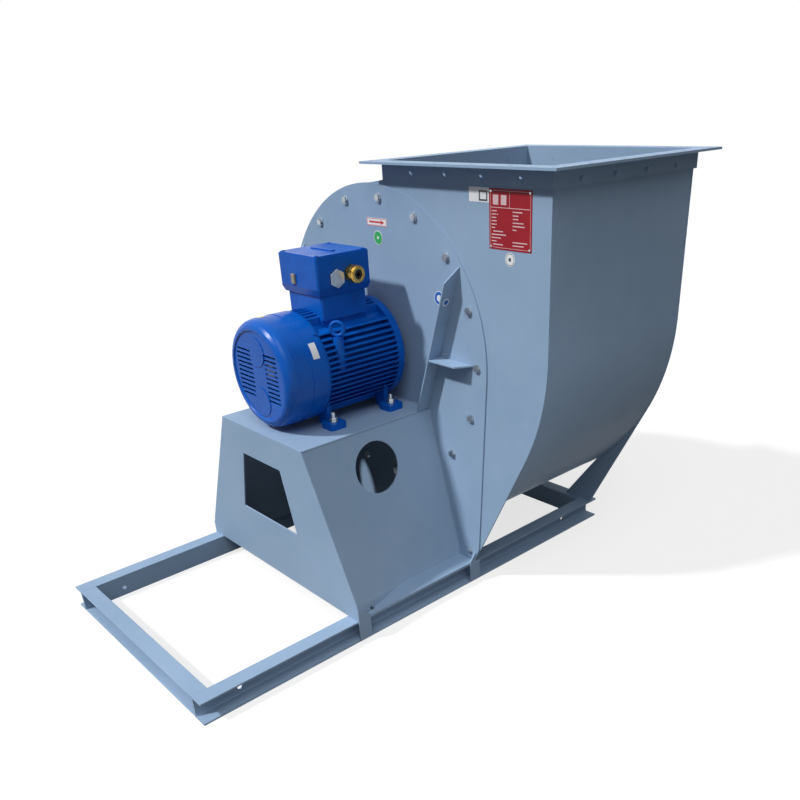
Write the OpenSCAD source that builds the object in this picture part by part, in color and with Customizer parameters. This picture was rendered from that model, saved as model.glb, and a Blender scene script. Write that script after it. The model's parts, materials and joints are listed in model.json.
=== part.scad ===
// Direct drive centrifugal fan on a channel base frame, with its motor on a sheet steel pedestal.
// Lengths are in millimetres, with +Z up. The motor side faces -Y and the air outlet opens upward.
// Sizes are taken from the shaft's vertical plane, the drive plate's motor-side face and the floor.

/* [Base frame] */
// Half of the frame's width
base_half = 390; // [380:1:400]
// From the drive plate to the frame's front end
base_front = 944; // [900:4:1000]
// From the drive plate to the frame's rear end
base_rear = 607; // [600:1:620]
// Channel height
chan_h = 66.5; // [60:0.5:75]
// Channel flange width
chan_w = 45.6; // [40:0.2:50]
// Channel wall
chan_t = 5; // [4:0.5:7]
// Radius inside the channel's corners
chan_r = 5; // [3:0.5:8]
// Radius of the holes in the rail webs
rail_hole_r = 7; // [5:0.5:9]
// Height of the holes in the rail webs
rail_hole_z = 24; // [20:1:40]
// From the drive plate to the front pair of web holes
rail_hole_front = 816; // [780:4:850]
// From the drive plate to the rear pair of web holes
rail_hole_rear = 472; // [440:4:520]
// Width of the straps along the rail
strap_w = 41; // [30:1:50]
// Strap thickness
strap_t = 5; // [4:0.5:8]

/* [Pedestal] */
// Height of the pedestal's top above the floor
ped_h = 524; // [514:1:534]
// From the drive plate to the pedestal's front face
ped_depth = 458; // [450:1:500]
// Half of the top's width
ped_top_half = 206; // [190:1:210]
// Half of the width at the foot of the side panels
ped_foot_half = 325; // [315:1:335]
// Height at which the front plate's sides turn upright
ped_kink_z = 116; // [108:1:124]
// From the drive plate to the foot of the fold in each side panel
ped_fold = 243; // [200:1:280]
// Thickness of the pedestal's sheet
ped_t = 5; // [4:0.5:6]
// Radius of the round hole in each side panel
side_hole_r = 75; // [50:1:80]
// From the drive plate to the round hole's centre
side_hole_y = 229; // [220:1:240]
// From the top down the slope to the round hole's centre
side_hole_down = 114; // [100:1:130]
// Half of the front window's top edge
window_top_half = 96.5; // [80:0.5:110]
// Half of the front window's bottom edge
window_low_half = 143; // [120:0.5:160]
// Height of the window's top edge
window_top_z = 432; // [400:1:450]
// Height of the window's bottom edge
window_low_z = 244.5; // [220:0.5:280]
// Sideways place of the window's middle
window_shift = -14; // [-20:1:0]

/* [Drive plate] */
// Radius of the round drive plate
dp_r = 448; // [445:1:455]
// Drive plate thickness
dp_t = 4; // [3:0.5:6]
// Half of the drive plate's width where its straight sides end
dp_low_half = 409; // [400:1:415]
// Half of the drive plate's width on the rails
dp_foot_half = 388; // [380:1:388]
// Radius of the circle of casing bolts
dp_bolt_circle = 413.6; // [405:0.1:425]
// Number of steps in the circle of casing bolts
dp_bolts = 17; // [17:1:17]
// Thickness of the two stiffening arms
arm_t = 5; // [4:0.5:8]
// How far the arms stand out from the drive plate
arm_d = 45; // [35:1:50]
// Height of the shelves' undersides
shelf_z = 682; // [670:1:700]
// Shelf thickness
shelf_t = 6; // [4:0.5:8]

/* [Casing] */
// Radius of the scroll's lower right arc
arc_a_r = 650; // [640:1:660]
// Radius of the scroll's lower left arc
arc_b_r = 501; // [496:1:506]
// Sideways place of the two lower arcs' centres
arc_x = 7.5; // [0:0.5:15]
// Height of the lower right arc's centre
arc_a_z = 749; // [745:1:755]
// Sideways place of the upper left arc's centre
arc_c_x = 36; // [30:1:42]
// Width of the casing over its side plates
casing_w = 577; // [560:1:580]
// Thickness of the casing's plates
wall_t = 4; // [3:0.5:5]
// Height of the outlet's face
outlet_z = 1187; // [1175:1:1200]
// Sideways place of the outlet neck's left wall
neck_x = 70; // [64:1:76]
// Leg of the outlet's angle frame
angle_w = 49; // [46:0.5:52]
// Thickness of the outlet's angle frame
angle_t = 6; // [5:0.5:8]
// Half of the legs' spread on the rails
leg_foot = 388; // [380:1:389]

/* [Inlet] */
// Radius of the opening in the drive side of the casing
drive_open_r = 380; // [370:1:390]
// Radius of the opening in the inlet side of the casing
inlet_open_r = 300; // [285:1:310]
// Inner radius of the inlet collar
inlet_r = 250; // [245:1:255]
// Outer radius of the inlet's duct flange
inlet_flange_r = 292; // [288:1:300]
// Radius of the circle of duct bolts
inlet_bolt_circle = 270.5; // [268:0.5:273]
// Number of duct bolt holes
inlet_holes = 8; // [8:4:12]
// Radius of the cone's narrow end
cone_r = 186; // [180:1:190]

/* [Impeller] */
// Outer radius of the impeller
imp_r = 355; // [340:1:360]
// Inner radius of the shroud's eye
eye_r = 193; // [192:1:198]
// Number of blades
blades = 10; // [8:1:12]
// Blade thickness
blade_t = 4; // [3:0.5:5]
// Radius at the blades' inner edges
blade_in_r = 200; // [198:1:210]
// Radius that each blade is curved to
blade_curve_r = 260; // [250:5:300]
// Turn between a blade's inner and outer edges, in degrees
blade_sweep = 35; // [30:1:40]

/* [Motor] */
// Height of the shaft above the motor's feet
shaft_h = 158; // [156:0.5:160]
// Radius over the fins of the motor frame
fin_r = 149; // [146:0.5:150]
// Radius of the motor frame's body
body_r = 129; // [127:0.5:132]
// Radius of the bore for the stator
bore_r = 118; // [114:0.5:120]
// Radius of the motor shaft's drive end
shaft_r = 21; // [19:0.5:22]
// Half of the foot bolts' spacing across the motor
foot_x = 127; // [125:0.5:130]
// From the drive plate to the front foot bolts
foot_y1 = 288; // [284:1:292]
// From the drive plate to the rear foot bolts
foot_y2 = 78; // [74:1:82]
// Radius of the fan cowl
cowl_r = 151; // [150:0.5:153]
// From the drive plate to the end of the fan cowl
cowl_end = 434; // [430:1:440]
// Half of the terminal box's width
box_half = 90; // [86:1:94]
// Height of the terminal box's top above the floor
box_top = 977; // [970:1:984]
// Height of the terminal box's underside above the floor
box_low = 872; // [868:1:876]

/* [Labels] */
// Width and height of the rating plate
plate_s = 138; // [120:1:140]
// Thickness of the plates and labels
label_t = 0.8; // [0.6:0.1:1.5]

/* [Hidden] */

$fn = 96;
steel = [0.55, 0.64, 0.74];
steel_dark = [0.35, 0.42, 0.49];
blue = [0.07, 0.33, 0.66];
zinc = [0.72, 0.75, 0.78];
brass = [0.80, 0.65, 0.35];
bare = [0.62, 0.64, 0.66];

// Shared clearances: one overrun for every cut, one radial gap for every shaft or bolt in its hole
over = 2;
fit_gap = 0.05;
hole_gap = 0.4;
run_gap = 0.6;

// Sizes that follow from those above
shaft_z = ped_h + shaft_h;
rail_x = base_half - chan_w;
casing_y0 = dp_t;
casing_y1 = casing_y0 + casing_w;
arc_b_z = arc_a_z - arc_a_r + arc_b_r;
arc_c_r = arc_b_r + arc_c_x - arc_x;
scroll_top = arc_b_z + arc_c_r;
right_x = arc_x + arc_a_r;
neck_mid_x = (neck_x + right_x) / 2;
neck_mid_y = (casing_y0 + casing_y1) / 2;
left_x = arc_x - arc_b_r;
flange_right = right_x + angle_w;
origin_x = (left_x + flange_right) / 2;
origin_y = (casing_y1 + angle_w - base_front) / 2;
ped_slope = atan2(ped_foot_half - ped_top_half, ped_h - chan_h);

// Fasteners: hexagon across flats, head height and shank radius
hex_af = 17;
hex_h = 6.5;
hex_r = 5;
washer_r = 11;
washer_t = 2;
small_af = 10;
small_h = 4;
small_r = 3;

// Straps beside the rails: top edge heights at each strap's front and back, and the underside
strap_front_top = [108, 76];
strap_plate_top = [73, 102];
strap_low = 4;
strap_plate_y = 23;
base_bolt_front = 392;
base_bolt_lip_x = 372;
base_bolt_plate_x = 372;
base_bolt_plate_z = 96;
lip_t = 3;

// Arms: foot and head of each arm's line in the drive plate's plane, and the lower outer corner
arm_foot_x = 209;
arm_head_x = 356;
arm_head_z = 942;
arm_cut = 38;
shelf_in = 266;
shelf_front_x = 369;
shelf_out = 398;

// Casing legs: where the inner edges leave the two lower arcs, and their feet
leg_knee_a = 51.8;
leg_in_foot = 280;
tongue_run = 95;
tongue_rise = 8;
duct_bolt_pitch = 130;
duct_bolt_first = 107;
duct_hole_in = 27;
duct_hole_r = 6;
duct_hole_shares = [0.2, 0.6];

// Inlet cone
cone_t = 3;
collar_len = 31;
ring_t = 6;
cone_end = 352;
cone_flange_r = 332;
cone_bolt_circle = 316;
cone_bolts = 12;
ring_hole_r = 6;

// Impeller, along the shaft from the drive plate
back_y = 72;
back_t = 6;
shroud_t = 4;
shroud_out_y = 232;
shroud_eye_y = 318;
eye_len = 28;
hub_r = 52;
hub_flange_r = 92;
hub_flange_t = 10;
hub_y0 = 44;
hub_y1 = 136;
hub_rivet_circle = 74;
hub_rivet_r = 5;
hub_rivets_n = 8;

// Shaft and bearings
shaft_end = 140;
shoulder_y = 30;
seat_r = 22.5;
mid_r = 30;
fan_seat_r = 20;
bearing_r = 50;
bearing_inner_r = 29;
bearing_outer_r = 43;
bearing_w = 24;
bearing_y1 = -5;
bearing_y2 = -331;
shaft_fan_end = -392;
key_w = 12;
key_h = 8;
key_len = 86;
key_y = 46;
bolt_washer_r = 30;
bolt_washer_t = 6;
end_bolt_r = 8;
end_bolt_len = 40;
end_bolt_af = 24;
end_bolt_h = 10;

// Motor inside
core_y0 = -255;
core_y1 = -95;
stator_in_r = 80;
winding_in_r = 84;
winding_out_r = 112;
winding_len = 32;

// Motor frame, along the shaft
frame_y0 = -302;
frame_y1 = -45;
fin_pitch = 14.5;
fin_t = 4;
fin_rows = 7;
top_fin_pitch = 15;
top_fin_rows = 4;
shield_t = 20;
shield_r = 147;
boss_r = 60;
boss_y = 26;
spigot_len = 8;
shield_wall = 8;
foot_t = 18;
foot_half_x = 27;
foot_half_y = 27;
foot_corner = 9;
foot_rib_t = 14;
foot_rib_in = 66;
foot_rib_out = 108;
foot_rib_top = 622;
stud_r = 6;
nut_af = 20;
nut_h = 11;
stud_top = 45;
shield_bolt_circle = 133;
shield_bolt_angle = 80;

// Fan cowl
cowl_t = 3;
cowl_step_y = -353;
cowl_step = 1.2;
cowl_ring_r = 123.5;
cowl_round_y = 30;
cowl_face_in = 4;
slot_pitch = 12.6;
slot_h = 5.6;
slot_rows = 5;
slot_left = [-103, -28];
slot_right = [37, 95];
cowl_pad_r = 40;
cowl_pad_t = 2;
cowl_pads_z = [65, -74];
fan_y = -352;
fan_len = 40;
fan_hub_r = 34;
fan_tip_r = 124;
fan_blades = 8;
fan_disc_t = 4;

// Terminal box
box_y0 = -267;
box_y1 = -88;
box_wall = 4;
box_corner = 8;
lid_h = 22;
bevel_h = 20;
bevel_in = 8;
neck_half = 79;
neck_y0 = -254;
neck_y1 = -100;
neck_low = 806;
pad_half = 70;
lid_bar_w = 14;
lid_bar_l = 96;
lid_bar_h = 3;
block_w = 70;
block_l = 100;
block_h = 24;
block_stud_r = 3;
block_stud_h = 16;
plug_y = -206;
plug_z = 915;
plug_af = 44;
plug_h = 8;
plug_thread_r = 17;
gland_y = -155;
gland_z = 921;
gland_af = 42;
gland_flange = 9;
gland_neck_r = 18;
gland_len = 27;
gland_thread_r = 16;
gland_nut_r = 23;
gland_nut_len = 22;
gland_bore_r = 13;
side_plug_x = -20;
side_plug_z = 912;
side_plug_w = 16;
side_plug_h = 26;
side_plug_d = 6;
eye_x = 128;
eye_y = -246;
eye_z = 794;
eye_ring_r = 18;
eye_bar_r = 5;
eye_turn = 42;
eye_collar_r = 13;
eye_collar_t = 5;
eye_shank_r = 6;
eye_shank_len = 20;
eye_boss_r = 15;

// Labels on the casing and the drive plate
rating_x = 460;
rating_z = 996;
rivet_in = 6;
rivet_r = 3;
rivet_head = 1.6;
white_label_x = 391;
white_label_z = 1101;
white_label_w = 68;
white_label_h = 34;
round_label_x = 528.5;
round_label_z = 975;
round_label_r = 16;
arrow_label_x = -20;
arrow_label_z = 1018;
arrow_label_w = 88;
arrow_label_h = 21;
green_label_x = 25;
green_label_z = 987;
green_label_r = 19;
blue_label_x = 272;
blue_label_z = 850;
blue_label_r = 19;
motor_label_len = 44;
motor_label_w = 20;

module placed() translate([-origin_x, -origin_y, 0]) children();
module along_y(y0, y1) translate([0, y1, 0]) rotate([90, 0, 0]) linear_extrude(y1 - y0) children();
module along_x(x0, x1) translate([x0, 0, 0]) rotate([90, 0, 90]) linear_extrude(x1 - x0) children();
module along_z(z0, z1) translate([0, 0, z0]) linear_extrude(z1 - z0) children();
module about_shaft() translate([0, 0, shaft_z]) rotate([-90, 0, 0]) rotate_extrude() children();
module rod_y(r, y0, y1) translate([0, y0, 0]) rotate([-90, 0, 0]) cylinder(r = r, h = y1 - y0);
module rod_x(r, x0, x1) translate([x0, 0, 0]) rotate([0, 90, 0]) cylinder(r = r, h = x1 - x0);
module block(a, b) translate(a) cube(b - a);
module flip() mirror([1, 0, 0]) children();
module both() {
    children();
    flip() children();
}
module at_polar(r, angle) translate([r * cos(angle), 0, r * sin(angle)]) children();
module on_shaft() translate([0, 0, shaft_z]) children();

function hex_corner(af) = af / 2 / cos(30);

// Hexagon head on -Y side of y, with a washer and a shank that runs to y_end
module bolt_y(af, h, r, y, y_end, wr, wt) {
    translate([0, y - wt - h, 0]) rotate([-90, 0, 0]) cylinder(r = hex_corner(af), h = h, $fn = 6);
    rod_y(wr, y - wt, y);
    rod_y(r, y - wt, y_end);
}

// Channel section: web at x = 0, flanges toward +x
module channel_2d() {
    difference() {
        square([chan_w, chan_h]);
        translate([chan_t + chan_r, chan_t]) square([chan_w, chan_h - 2 * chan_t]);
        translate([chan_t, chan_t + chan_r]) square([chan_w, chan_h - 2 * (chan_t + chan_r)]);
        for (z = [chan_t + chan_r, chan_h - chan_t - chan_r])
            translate([chan_t + chan_r, z]) circle(chan_r, $fn = 32);
    }
}

// Points on an arc about c, from one angle to another in steps of about two degrees
arc_step = 2;
function arc_points(c, r, from, to) = let (n = ceil(abs(to - from) / arc_step))
    [for (i = [0 : n]) c + r * [cos(from + (to - from) * i / n), sin(from + (to - from) * i / n)]];

// Base frame
module rail() {
    difference() {
        translate([rail_x, 0, 0]) along_y(-base_front, base_rear) channel_2d();
        for (y = [-rail_hole_front, rail_hole_rear])
            translate([0, y, rail_hole_z]) rod_x(rail_hole_r, rail_x - over, rail_x + chan_t + over);
        translate([base_bolt_lip_x, -base_bolt_front, chan_h - chan_t - over])
            cylinder(r = small_r + hole_gap, h = chan_t + 2 * over);
    }
}
module base_rail_right() color(steel) placed() rail();
module base_rail_left() color(steel) placed() flip() rail();
module base_cross_front() color(steel) placed()
    along_x(-rail_x, rail_x) translate([-base_front + chan_w, 0]) mirror([1, 0]) channel_2d();
module base_cross_rear() color(steel) placed()
    along_x(-rail_x, rail_x) translate([base_rear - chan_w, 0]) channel_2d();

module rail_straps() color(steel) placed() both() along_x(base_half, base_half + strap_t) {
    polygon([[-ped_depth, strap_low], [-ped_depth + strap_w, strap_low],
        [-ped_depth + strap_w, strap_front_top[1]], [-ped_depth, strap_front_top[0]]]);
    polygon([[-strap_plate_y, strap_low], [strap_w - strap_plate_y, strap_low],
        [strap_w - strap_plate_y, chan_h], [0, chan_h], [0, strap_plate_top[1]],
        [-strap_plate_y, strap_plate_top[0]]]);
}
module base_bolts() color(zinc) placed() both() {
    translate([base_bolt_lip_x, -base_bolt_front, 0]) {
        translate([0, 0, chan_h + lip_t])
            cylinder(r = hex_corner(small_af), h = small_h, $fn = 6);
        translate([0, 0, chan_h - chan_t]) cylinder(r = small_r, h = chan_t + lip_t + over);
    }
    translate([base_bolt_plate_x, 0, base_bolt_plate_z])
        bolt_y(small_af, small_h, small_r, 0, dp_t, small_af * 0.8, washer_t);
}

// Pedestal
module front_outline() {
    polygon([[-ped_top_half, ped_h - ped_t], [ped_top_half, ped_h - ped_t],
        [base_half, ped_kink_z], [base_half, chan_h], [-base_half, chan_h], [-base_half, ped_kink_z]]);
}
module pedestal_front() color(steel) placed() along_y(-ped_depth, -ped_depth + ped_t) difference() {
    front_outline();
    translate([window_shift, 0]) polygon([[-window_top_half, window_top_z],
        [window_top_half, window_top_z], [window_low_half, window_low_z],
        [-window_low_half, window_low_z]]);
}
// Outer corners of the right side panel: top front, top back, foot back, fold foot, and the
// front plate's two lower corners. The inner corners lie one sheet nearer the middle.
side_top = ped_h - ped_t;
side_front = -ped_depth + ped_t;
side_pts = [[ped_top_half, side_front, side_top], [ped_top_half, 0, side_top],
    [ped_foot_half, 0, chan_h], [ped_foot_half, -ped_fold, chan_h],
    [base_half, side_front, chan_h], [base_half, side_front, ped_kink_z]];
module side_sheet() {
    n = len(side_pts);
    inner = [for (p = side_pts) p - [ped_t, 0, 0]];
    polyhedron(points = concat(side_pts, inner),
        faces = [[0, 1, 2, 3], [0, 3, 5], [5, 3, 4], [n + 3, n + 2, n + 1, n], [n + 5, n + 3, n],
            [n + 4, n + 3, n + 5], [n, n + 1, 1, 0], [n + 1, n + 2, 2, 1], [n + 2, n + 3, 3, 2],
            [n + 3, n + 4, 4, 3], [n + 4, n + 5, 5, 4], [n + 5, n, 0, 5]]);
}
module side_panel() {
    difference() {
        union() {
            side_sheet();
            along_z(chan_h, chan_h + lip_t) polygon([[ped_foot_half - lip_t, 0],
                [ped_foot_half - lip_t, -ped_fold], [base_half - lip_t, side_front],
                [base_half, side_front], [base_half, 0]]);
        }
        translate([ped_top_half, -side_hole_y, ped_h]) rotate([0, -ped_slope, 0])
            translate([0, 0, -side_hole_down])
            rod_x(side_hole_r, -ped_t * 3, ped_t * 2);
        translate([base_bolt_lip_x, -base_bolt_front, chan_h - over]) {
            cylinder(r = small_r + hole_gap, h = lip_t + 2 * over);
            translate([0, 0, lip_t + over]) cylinder(r = small_af * 0.7, h = small_h * 3);
        }
    }
}
module pedestal_side_right() color(steel) placed() side_panel();
module pedestal_side_left() color(steel) placed() flip() side_panel();
module pedestal_top() color(steel) placed() difference() {
    block([-ped_top_half, -ped_depth, ped_h - ped_t], [ped_top_half, 0, ped_h]);
    for (x = [-foot_x, foot_x], y = [-foot_y1, -foot_y2])
        translate([x, y, ped_h - ped_t - over])
        cylinder(r = stud_r + hole_gap, h = ped_t + 2 * over);
}

// Drive plate: a disc about the shaft with straight sides that run down to the rails
dp_away = norm([dp_low_half, shaft_z - ped_kink_z]);
dp_turn = atan2(shaft_z - ped_kink_z, -dp_low_half) - asin(dp_r / dp_away);
dp_side = sqrt(dp_away * dp_away - dp_r * dp_r);
dp_tangent = [dp_low_half + dp_side * cos(dp_turn), ped_kink_z + dp_side * sin(dp_turn)];
dp_start = atan2(dp_tangent[1] - shaft_z, dp_tangent[0]);
module drive_outline() polygon(concat(arc_points([0, shaft_z], dp_r, dp_start, 180 - dp_start),
    [[-dp_low_half, ped_kink_z], [-dp_foot_half, chan_h], [dp_foot_half, chan_h],
    [dp_low_half, ped_kink_z]]));
// One place on the bolt circle lies on the left side panel's weld and is left out
left_out = 11;
module dp_bolt_places() on_shaft() for (i = [0 : dp_bolts - 1])
    if (i != left_out) at_polar(dp_bolt_circle, i * 360 / dp_bolts) children();
module drive_plate() color(steel) placed() difference() {
    along_y(0, dp_t) drive_outline();
    on_shaft() rod_y(boss_r + fit_gap + run_gap, -over, dp_t + over);
    dp_bolt_places() rod_y(hex_r + hole_gap, -over, dp_t + over);
    both() translate([base_bolt_plate_x, 0, base_bolt_plate_z])
        rod_y(small_r + hole_gap, -over, dp_t + over);
}
module drive_plate_bolts() color(zinc) placed() dp_bolt_places() {
    bolt_y(hex_af, hex_h, hex_r, 0, casing_y0 + wall_t + hex_h, washer_r, washer_t);
    translate([0, casing_y0 + wall_t, 0]) rotate([-90, 0, 0])
        cylinder(r = hex_corner(hex_af), h = hex_h, $fn = 6);
}

// Arms: plates on edge, square to the drive plate, with a shelf across each
arm_slope = (arm_head_x - arm_foot_x) / (arm_head_z - ped_h);
module arm() intersection() {
    along_y(-arm_d, 0) polygon([[arm_foot_x - arm_t, ped_h], [arm_foot_x, ped_h],
        [arm_head_x, arm_head_z], [arm_head_x - arm_t, arm_head_z]]);
    along_x(0, arm_head_x + over) polygon([[-arm_d, ped_h], [0, ped_h],
        [0, arm_head_z], [-arm_d, arm_head_z - arm_cut]]);
}
module arm_right() color(steel) placed() arm();
// The left arm stands a little nearer the middle, clear of a casing bolt
arm_left_shift = 3;
module arm_left() color(steel) placed() translate([arm_left_shift, 0, 0]) flip() arm();
shelf_arm_x = arm_foot_x + (shelf_z + shelf_t - ped_h) * arm_slope;
module shelf() along_z(shelf_z, shelf_z + shelf_t)
    polygon([[shelf_arm_x, 0], [shelf_arm_x, -arm_d], [shelf_front_x, -arm_d], [shelf_out, 0]]);
module arm_shelves() color(steel) placed() {
    shelf();
    translate([arm_left_shift, 0, 0]) flip() shelf();
}

// Casing
// Point where a line from an outside point touches a circle, on its side away from the middle
function touch(c, r, p) = let (
    v = c - p, away = norm(v), turn = atan2(v[1], v[0]) - asin(r / away),
    side = sqrt(away * away - r * r)) p + side * [cos(turn), sin(turn)];
function angle_from(c, p) = atan2(p[1] - c[1], p[0] - c[0]);
arc_a = [arc_x, arc_a_z];
arc_b = [arc_x, arc_b_z];
arc_c = [arc_c_x, arc_b_z];
leg_a_turn = angle_from(arc_a, touch(arc_a, arc_a_r, [leg_foot, chan_h]));
leg_b_turn = angle_from([-arc_x, arc_b_z], touch([-arc_x, arc_b_z], arc_b_r, [leg_foot, chan_h]));
tongue_start = acos((neck_x - tongue_run - arc_c_x) / arc_c_r);
// The side plates' outline, with the tongue beside the neck and a leg at each lower corner
module side_outline() polygon(concat([[right_x, outlet_z]], arc_points(arc_a, arc_a_r, 0, leg_a_turn),
    [[leg_foot, chan_h], [leg_in_foot, chan_h]], arc_points(arc_a, arc_a_r, -leg_knee_a, -90),
    arc_points(arc_b, arc_b_r, -90 - arc_step, leg_knee_a - 180),
    [[-leg_in_foot, chan_h], [-leg_foot, chan_h]],
    arc_points(arc_b, arc_b_r, -180 - leg_b_turn, -180),
    arc_points(arc_c, arc_c_r, 180 - arc_step, tongue_start),
    [[neck_x, scroll_top + tongue_rise], [neck_x, outlet_z]]));
// The wrap's outer outline, and its inner one a wall's thickness in, which runs on past the outlet
module wrap_outer() polygon(concat([[right_x, outlet_z]], arc_points(arc_a, arc_a_r, 0, -90),
    arc_points(arc_b, arc_b_r, -90 - arc_step, -180),
    arc_points(arc_c, arc_c_r, 180 - arc_step, tongue_start),
    [[neck_x, scroll_top + tongue_rise], [neck_x, outlet_z]]));
module wrap_inner(d) polygon(concat([[right_x - d, outlet_z + over]],
    arc_points(arc_a, arc_a_r - d, 0, -90), arc_points(arc_b, arc_b_r - d, -90 - arc_step, -180),
    arc_points(arc_c, arc_c_r - d, 180 - arc_step, 90),
    [[neck_x + d, scroll_top - d], [neck_x + d, outlet_z + over]]));
module neck_bolt_places() {
    for (i = [0 : 3]) {
        translate([neck_x + duct_bolt_first + i * duct_bolt_pitch, casing_y0, outlet_z - angle_w * 0.7])
            children();
        translate([neck_x + duct_bolt_first + i * duct_bolt_pitch, casing_y1, outlet_z - angle_w * 0.7])
            rotate([0, 0, 180]) children();
        translate([right_x, neck_mid_y + (i - 1.5) * duct_bolt_pitch, outlet_z - angle_w * 0.7])
            rotate([0, 0, 90]) children();
        translate([neck_x, neck_mid_y + (i - 1.5) * duct_bolt_pitch, outlet_z - angle_w * 0.7])
            rotate([0, 0, -90]) children();
    }
}
module neck_holes() neck_bolt_places() rod_y(small_r + hole_gap, -angle_t - over, wall_t + over);
module casing_side_drive() color(steel) placed() difference() {
    along_y(casing_y0, casing_y0 + wall_t) side_outline();
    on_shaft() rod_y(drive_open_r, casing_y0 - over, casing_y0 + wall_t + over);
    dp_bolt_places() rod_y(hex_r + hole_gap, casing_y0 - over, casing_y0 + wall_t + over);
    neck_holes();
}
module casing_wrap() color(steel) placed() difference() {
    along_y(casing_y0 + wall_t, casing_y1 - wall_t) difference() {
        wrap_outer();
        wrap_inner(wall_t);
    }
    neck_holes();
}
module cone_bolt_places() on_shaft() for (i = [0 : cone_bolts - 1])
    at_polar(cone_bolt_circle, (i + 0.5) * 360 / cone_bolts) children();
module casing_side_inlet() color(steel) placed() difference() {
    along_y(casing_y1 - wall_t, casing_y1) side_outline();
    on_shaft() rod_y(inlet_open_r, casing_y1 - wall_t - over, casing_y1 + over);
    cone_bolt_places() rod_y(small_r + hole_gap, casing_y1 - wall_t - over, casing_y1 + over);
    neck_holes();
}
hole_half_x = (right_x - neck_x) / 2 + duct_hole_in;
hole_half_y = casing_w / 2 + duct_hole_in;
module duct_hole(x, y) translate([neck_mid_x + x, neck_mid_y + y, outlet_z - angle_t - over])
    cylinder(r = duct_hole_r, h = angle_t + 2 * over);
module outlet_flange() color(steel) placed() difference() {
    union() {
        block([neck_x - angle_w, casing_y0 - angle_w, outlet_z - angle_t],
            [right_x + angle_w, casing_y1 + angle_w, outlet_z]);
        block([neck_x - angle_t, casing_y0 - angle_t, outlet_z - angle_w],
            [right_x + angle_t, casing_y1 + angle_t, outlet_z - angle_t]);
    }
    block([neck_x, casing_y0, outlet_z - angle_w - over], [right_x, casing_y1, outlet_z + over]);
    for (sx = [-1, 1], sy = [-1, 1]) {
        duct_hole(sx * hole_half_x, sy * hole_half_y);
        for (s = duct_hole_shares) {
            duct_hole(sx * s * hole_half_x, sy * hole_half_y);
            duct_hole(sx * hole_half_x, sy * s * hole_half_y);
        }
    }
    neck_holes();
}
module outlet_flange_bolts() color(zinc) placed() neck_bolt_places() {
    bolt_y(small_af, small_h, small_r, -angle_t, wall_t, small_af * 0.7, washer_t / 2);
}

// Inlet: a turned-in cone on its own flange, with a collar and a duct flange
module inlet_cone() color(steel) placed() difference() {
    about_shaft() polygon([[cone_flange_r, casing_y1], [cone_flange_r, casing_y1 + cone_t],
        [inlet_r + cone_t, casing_y1 + cone_t], [inlet_r + cone_t, casing_y1 + collar_len],
        [inlet_r, casing_y1 + collar_len], [inlet_r, casing_y1 - over],
        [cone_r, cone_end + eye_len], [cone_r, cone_end - eye_len / 2],
        [cone_r + cone_t, cone_end - eye_len / 2], [cone_r + cone_t, cone_end + eye_len],
        [inlet_r + cone_t, casing_y1 - over], [inlet_r + cone_t, casing_y1]]);
    cone_bolt_places() rod_y(small_r + hole_gap, casing_y1 - over, casing_y1 + cone_t + over);
}
module inlet_flange() color(steel) placed() difference() {
    about_shaft() polygon([[inlet_r + cone_t + fit_gap, casing_y1 + collar_len],
        [inlet_flange_r, casing_y1 + collar_len], [inlet_flange_r, casing_y1 + collar_len - ring_t],
        [inlet_r + cone_t + fit_gap, casing_y1 + collar_len - ring_t]]);
    on_shaft() for (i = [0 : inlet_holes - 1]) at_polar(inlet_bolt_circle, (i + 0.5) * 360 / inlet_holes)
        rod_y(ring_hole_r, casing_y1 + collar_len - ring_t - over, casing_y1 + collar_len + over);
}
module inlet_bolts() color(zinc) placed() cone_bolt_places() {
    translate([0, casing_y1 + cone_t, 0]) rotate([-90, 0, 0])
        cylinder(r = hex_corner(small_af), h = small_h, $fn = 6);
    rod_y(small_r, casing_y1 - wall_t - small_h, casing_y1 + cone_t + small_h);
}

// Impeller: back plate, curved blades and a coned shroud on a hub
module impeller_back_plate() color(steel_dark) placed() difference() {
    on_shaft() rod_y(imp_r, back_y, back_y + back_t);
    on_shaft() rod_y(hub_r + fit_gap, back_y - over, back_y + back_t + over);
    hub_rivet_places() rod_y(hub_rivet_r + fit_gap, back_y - over, back_y + back_t + over);
}
module impeller_shroud() color(steel_dark) placed() about_shaft()
    polygon([[imp_r, shroud_out_y], [eye_r, shroud_eye_y], [eye_r, shroud_eye_y + eye_len],
        [eye_r + shroud_t, shroud_eye_y + eye_len], [eye_r + shroud_t, shroud_eye_y + shroud_t],
        [imp_r, shroud_out_y + shroud_t]]);
blade_a = [blade_in_r, 0];
blade_b = (imp_r - blade_t) * [cos(blade_sweep), -sin(blade_sweep)];
blade_mid = (blade_a + blade_b) / 2;
blade_dir = (blade_b - blade_a) / norm(blade_b - blade_a);
blade_off = sqrt(blade_curve_r * blade_curve_r - pow(norm(blade_b - blade_a) / 2, 2));
blade_c = blade_mid + blade_off * [blade_dir[1], -blade_dir[0]];
module blade_2d() intersection() {
    difference() {
        circle(imp_r - blade_t);
        circle(blade_in_r);
    }
    difference() {
        translate(blade_c) circle(blade_curve_r + blade_t / 2);
        translate(blade_c) circle(blade_curve_r - blade_t / 2);
    }
    rotate(atan2(blade_c[1], blade_c[0])) translate([-imp_r, 0]) square([2 * imp_r, imp_r]);
}
module impeller_blades() color(steel_dark) placed() intersection() {
    on_shaft() for (i = [0 : blades - 1]) along_y(back_y + back_t, shroud_eye_y)
        rotate(i * 360 / blades) blade_2d();
    about_shaft() polygon([[eye_r / 2, back_y + back_t], [imp_r, back_y + back_t],
        [imp_r, shroud_out_y], [eye_r, shroud_eye_y], [eye_r / 2, shroud_eye_y]]);
}
module key_slot(w, h, y0, y1) on_shaft()
    block([-w / 2, y0, shaft_r - h / 2], [w / 2, y1, shaft_r + h / 2]);
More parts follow.
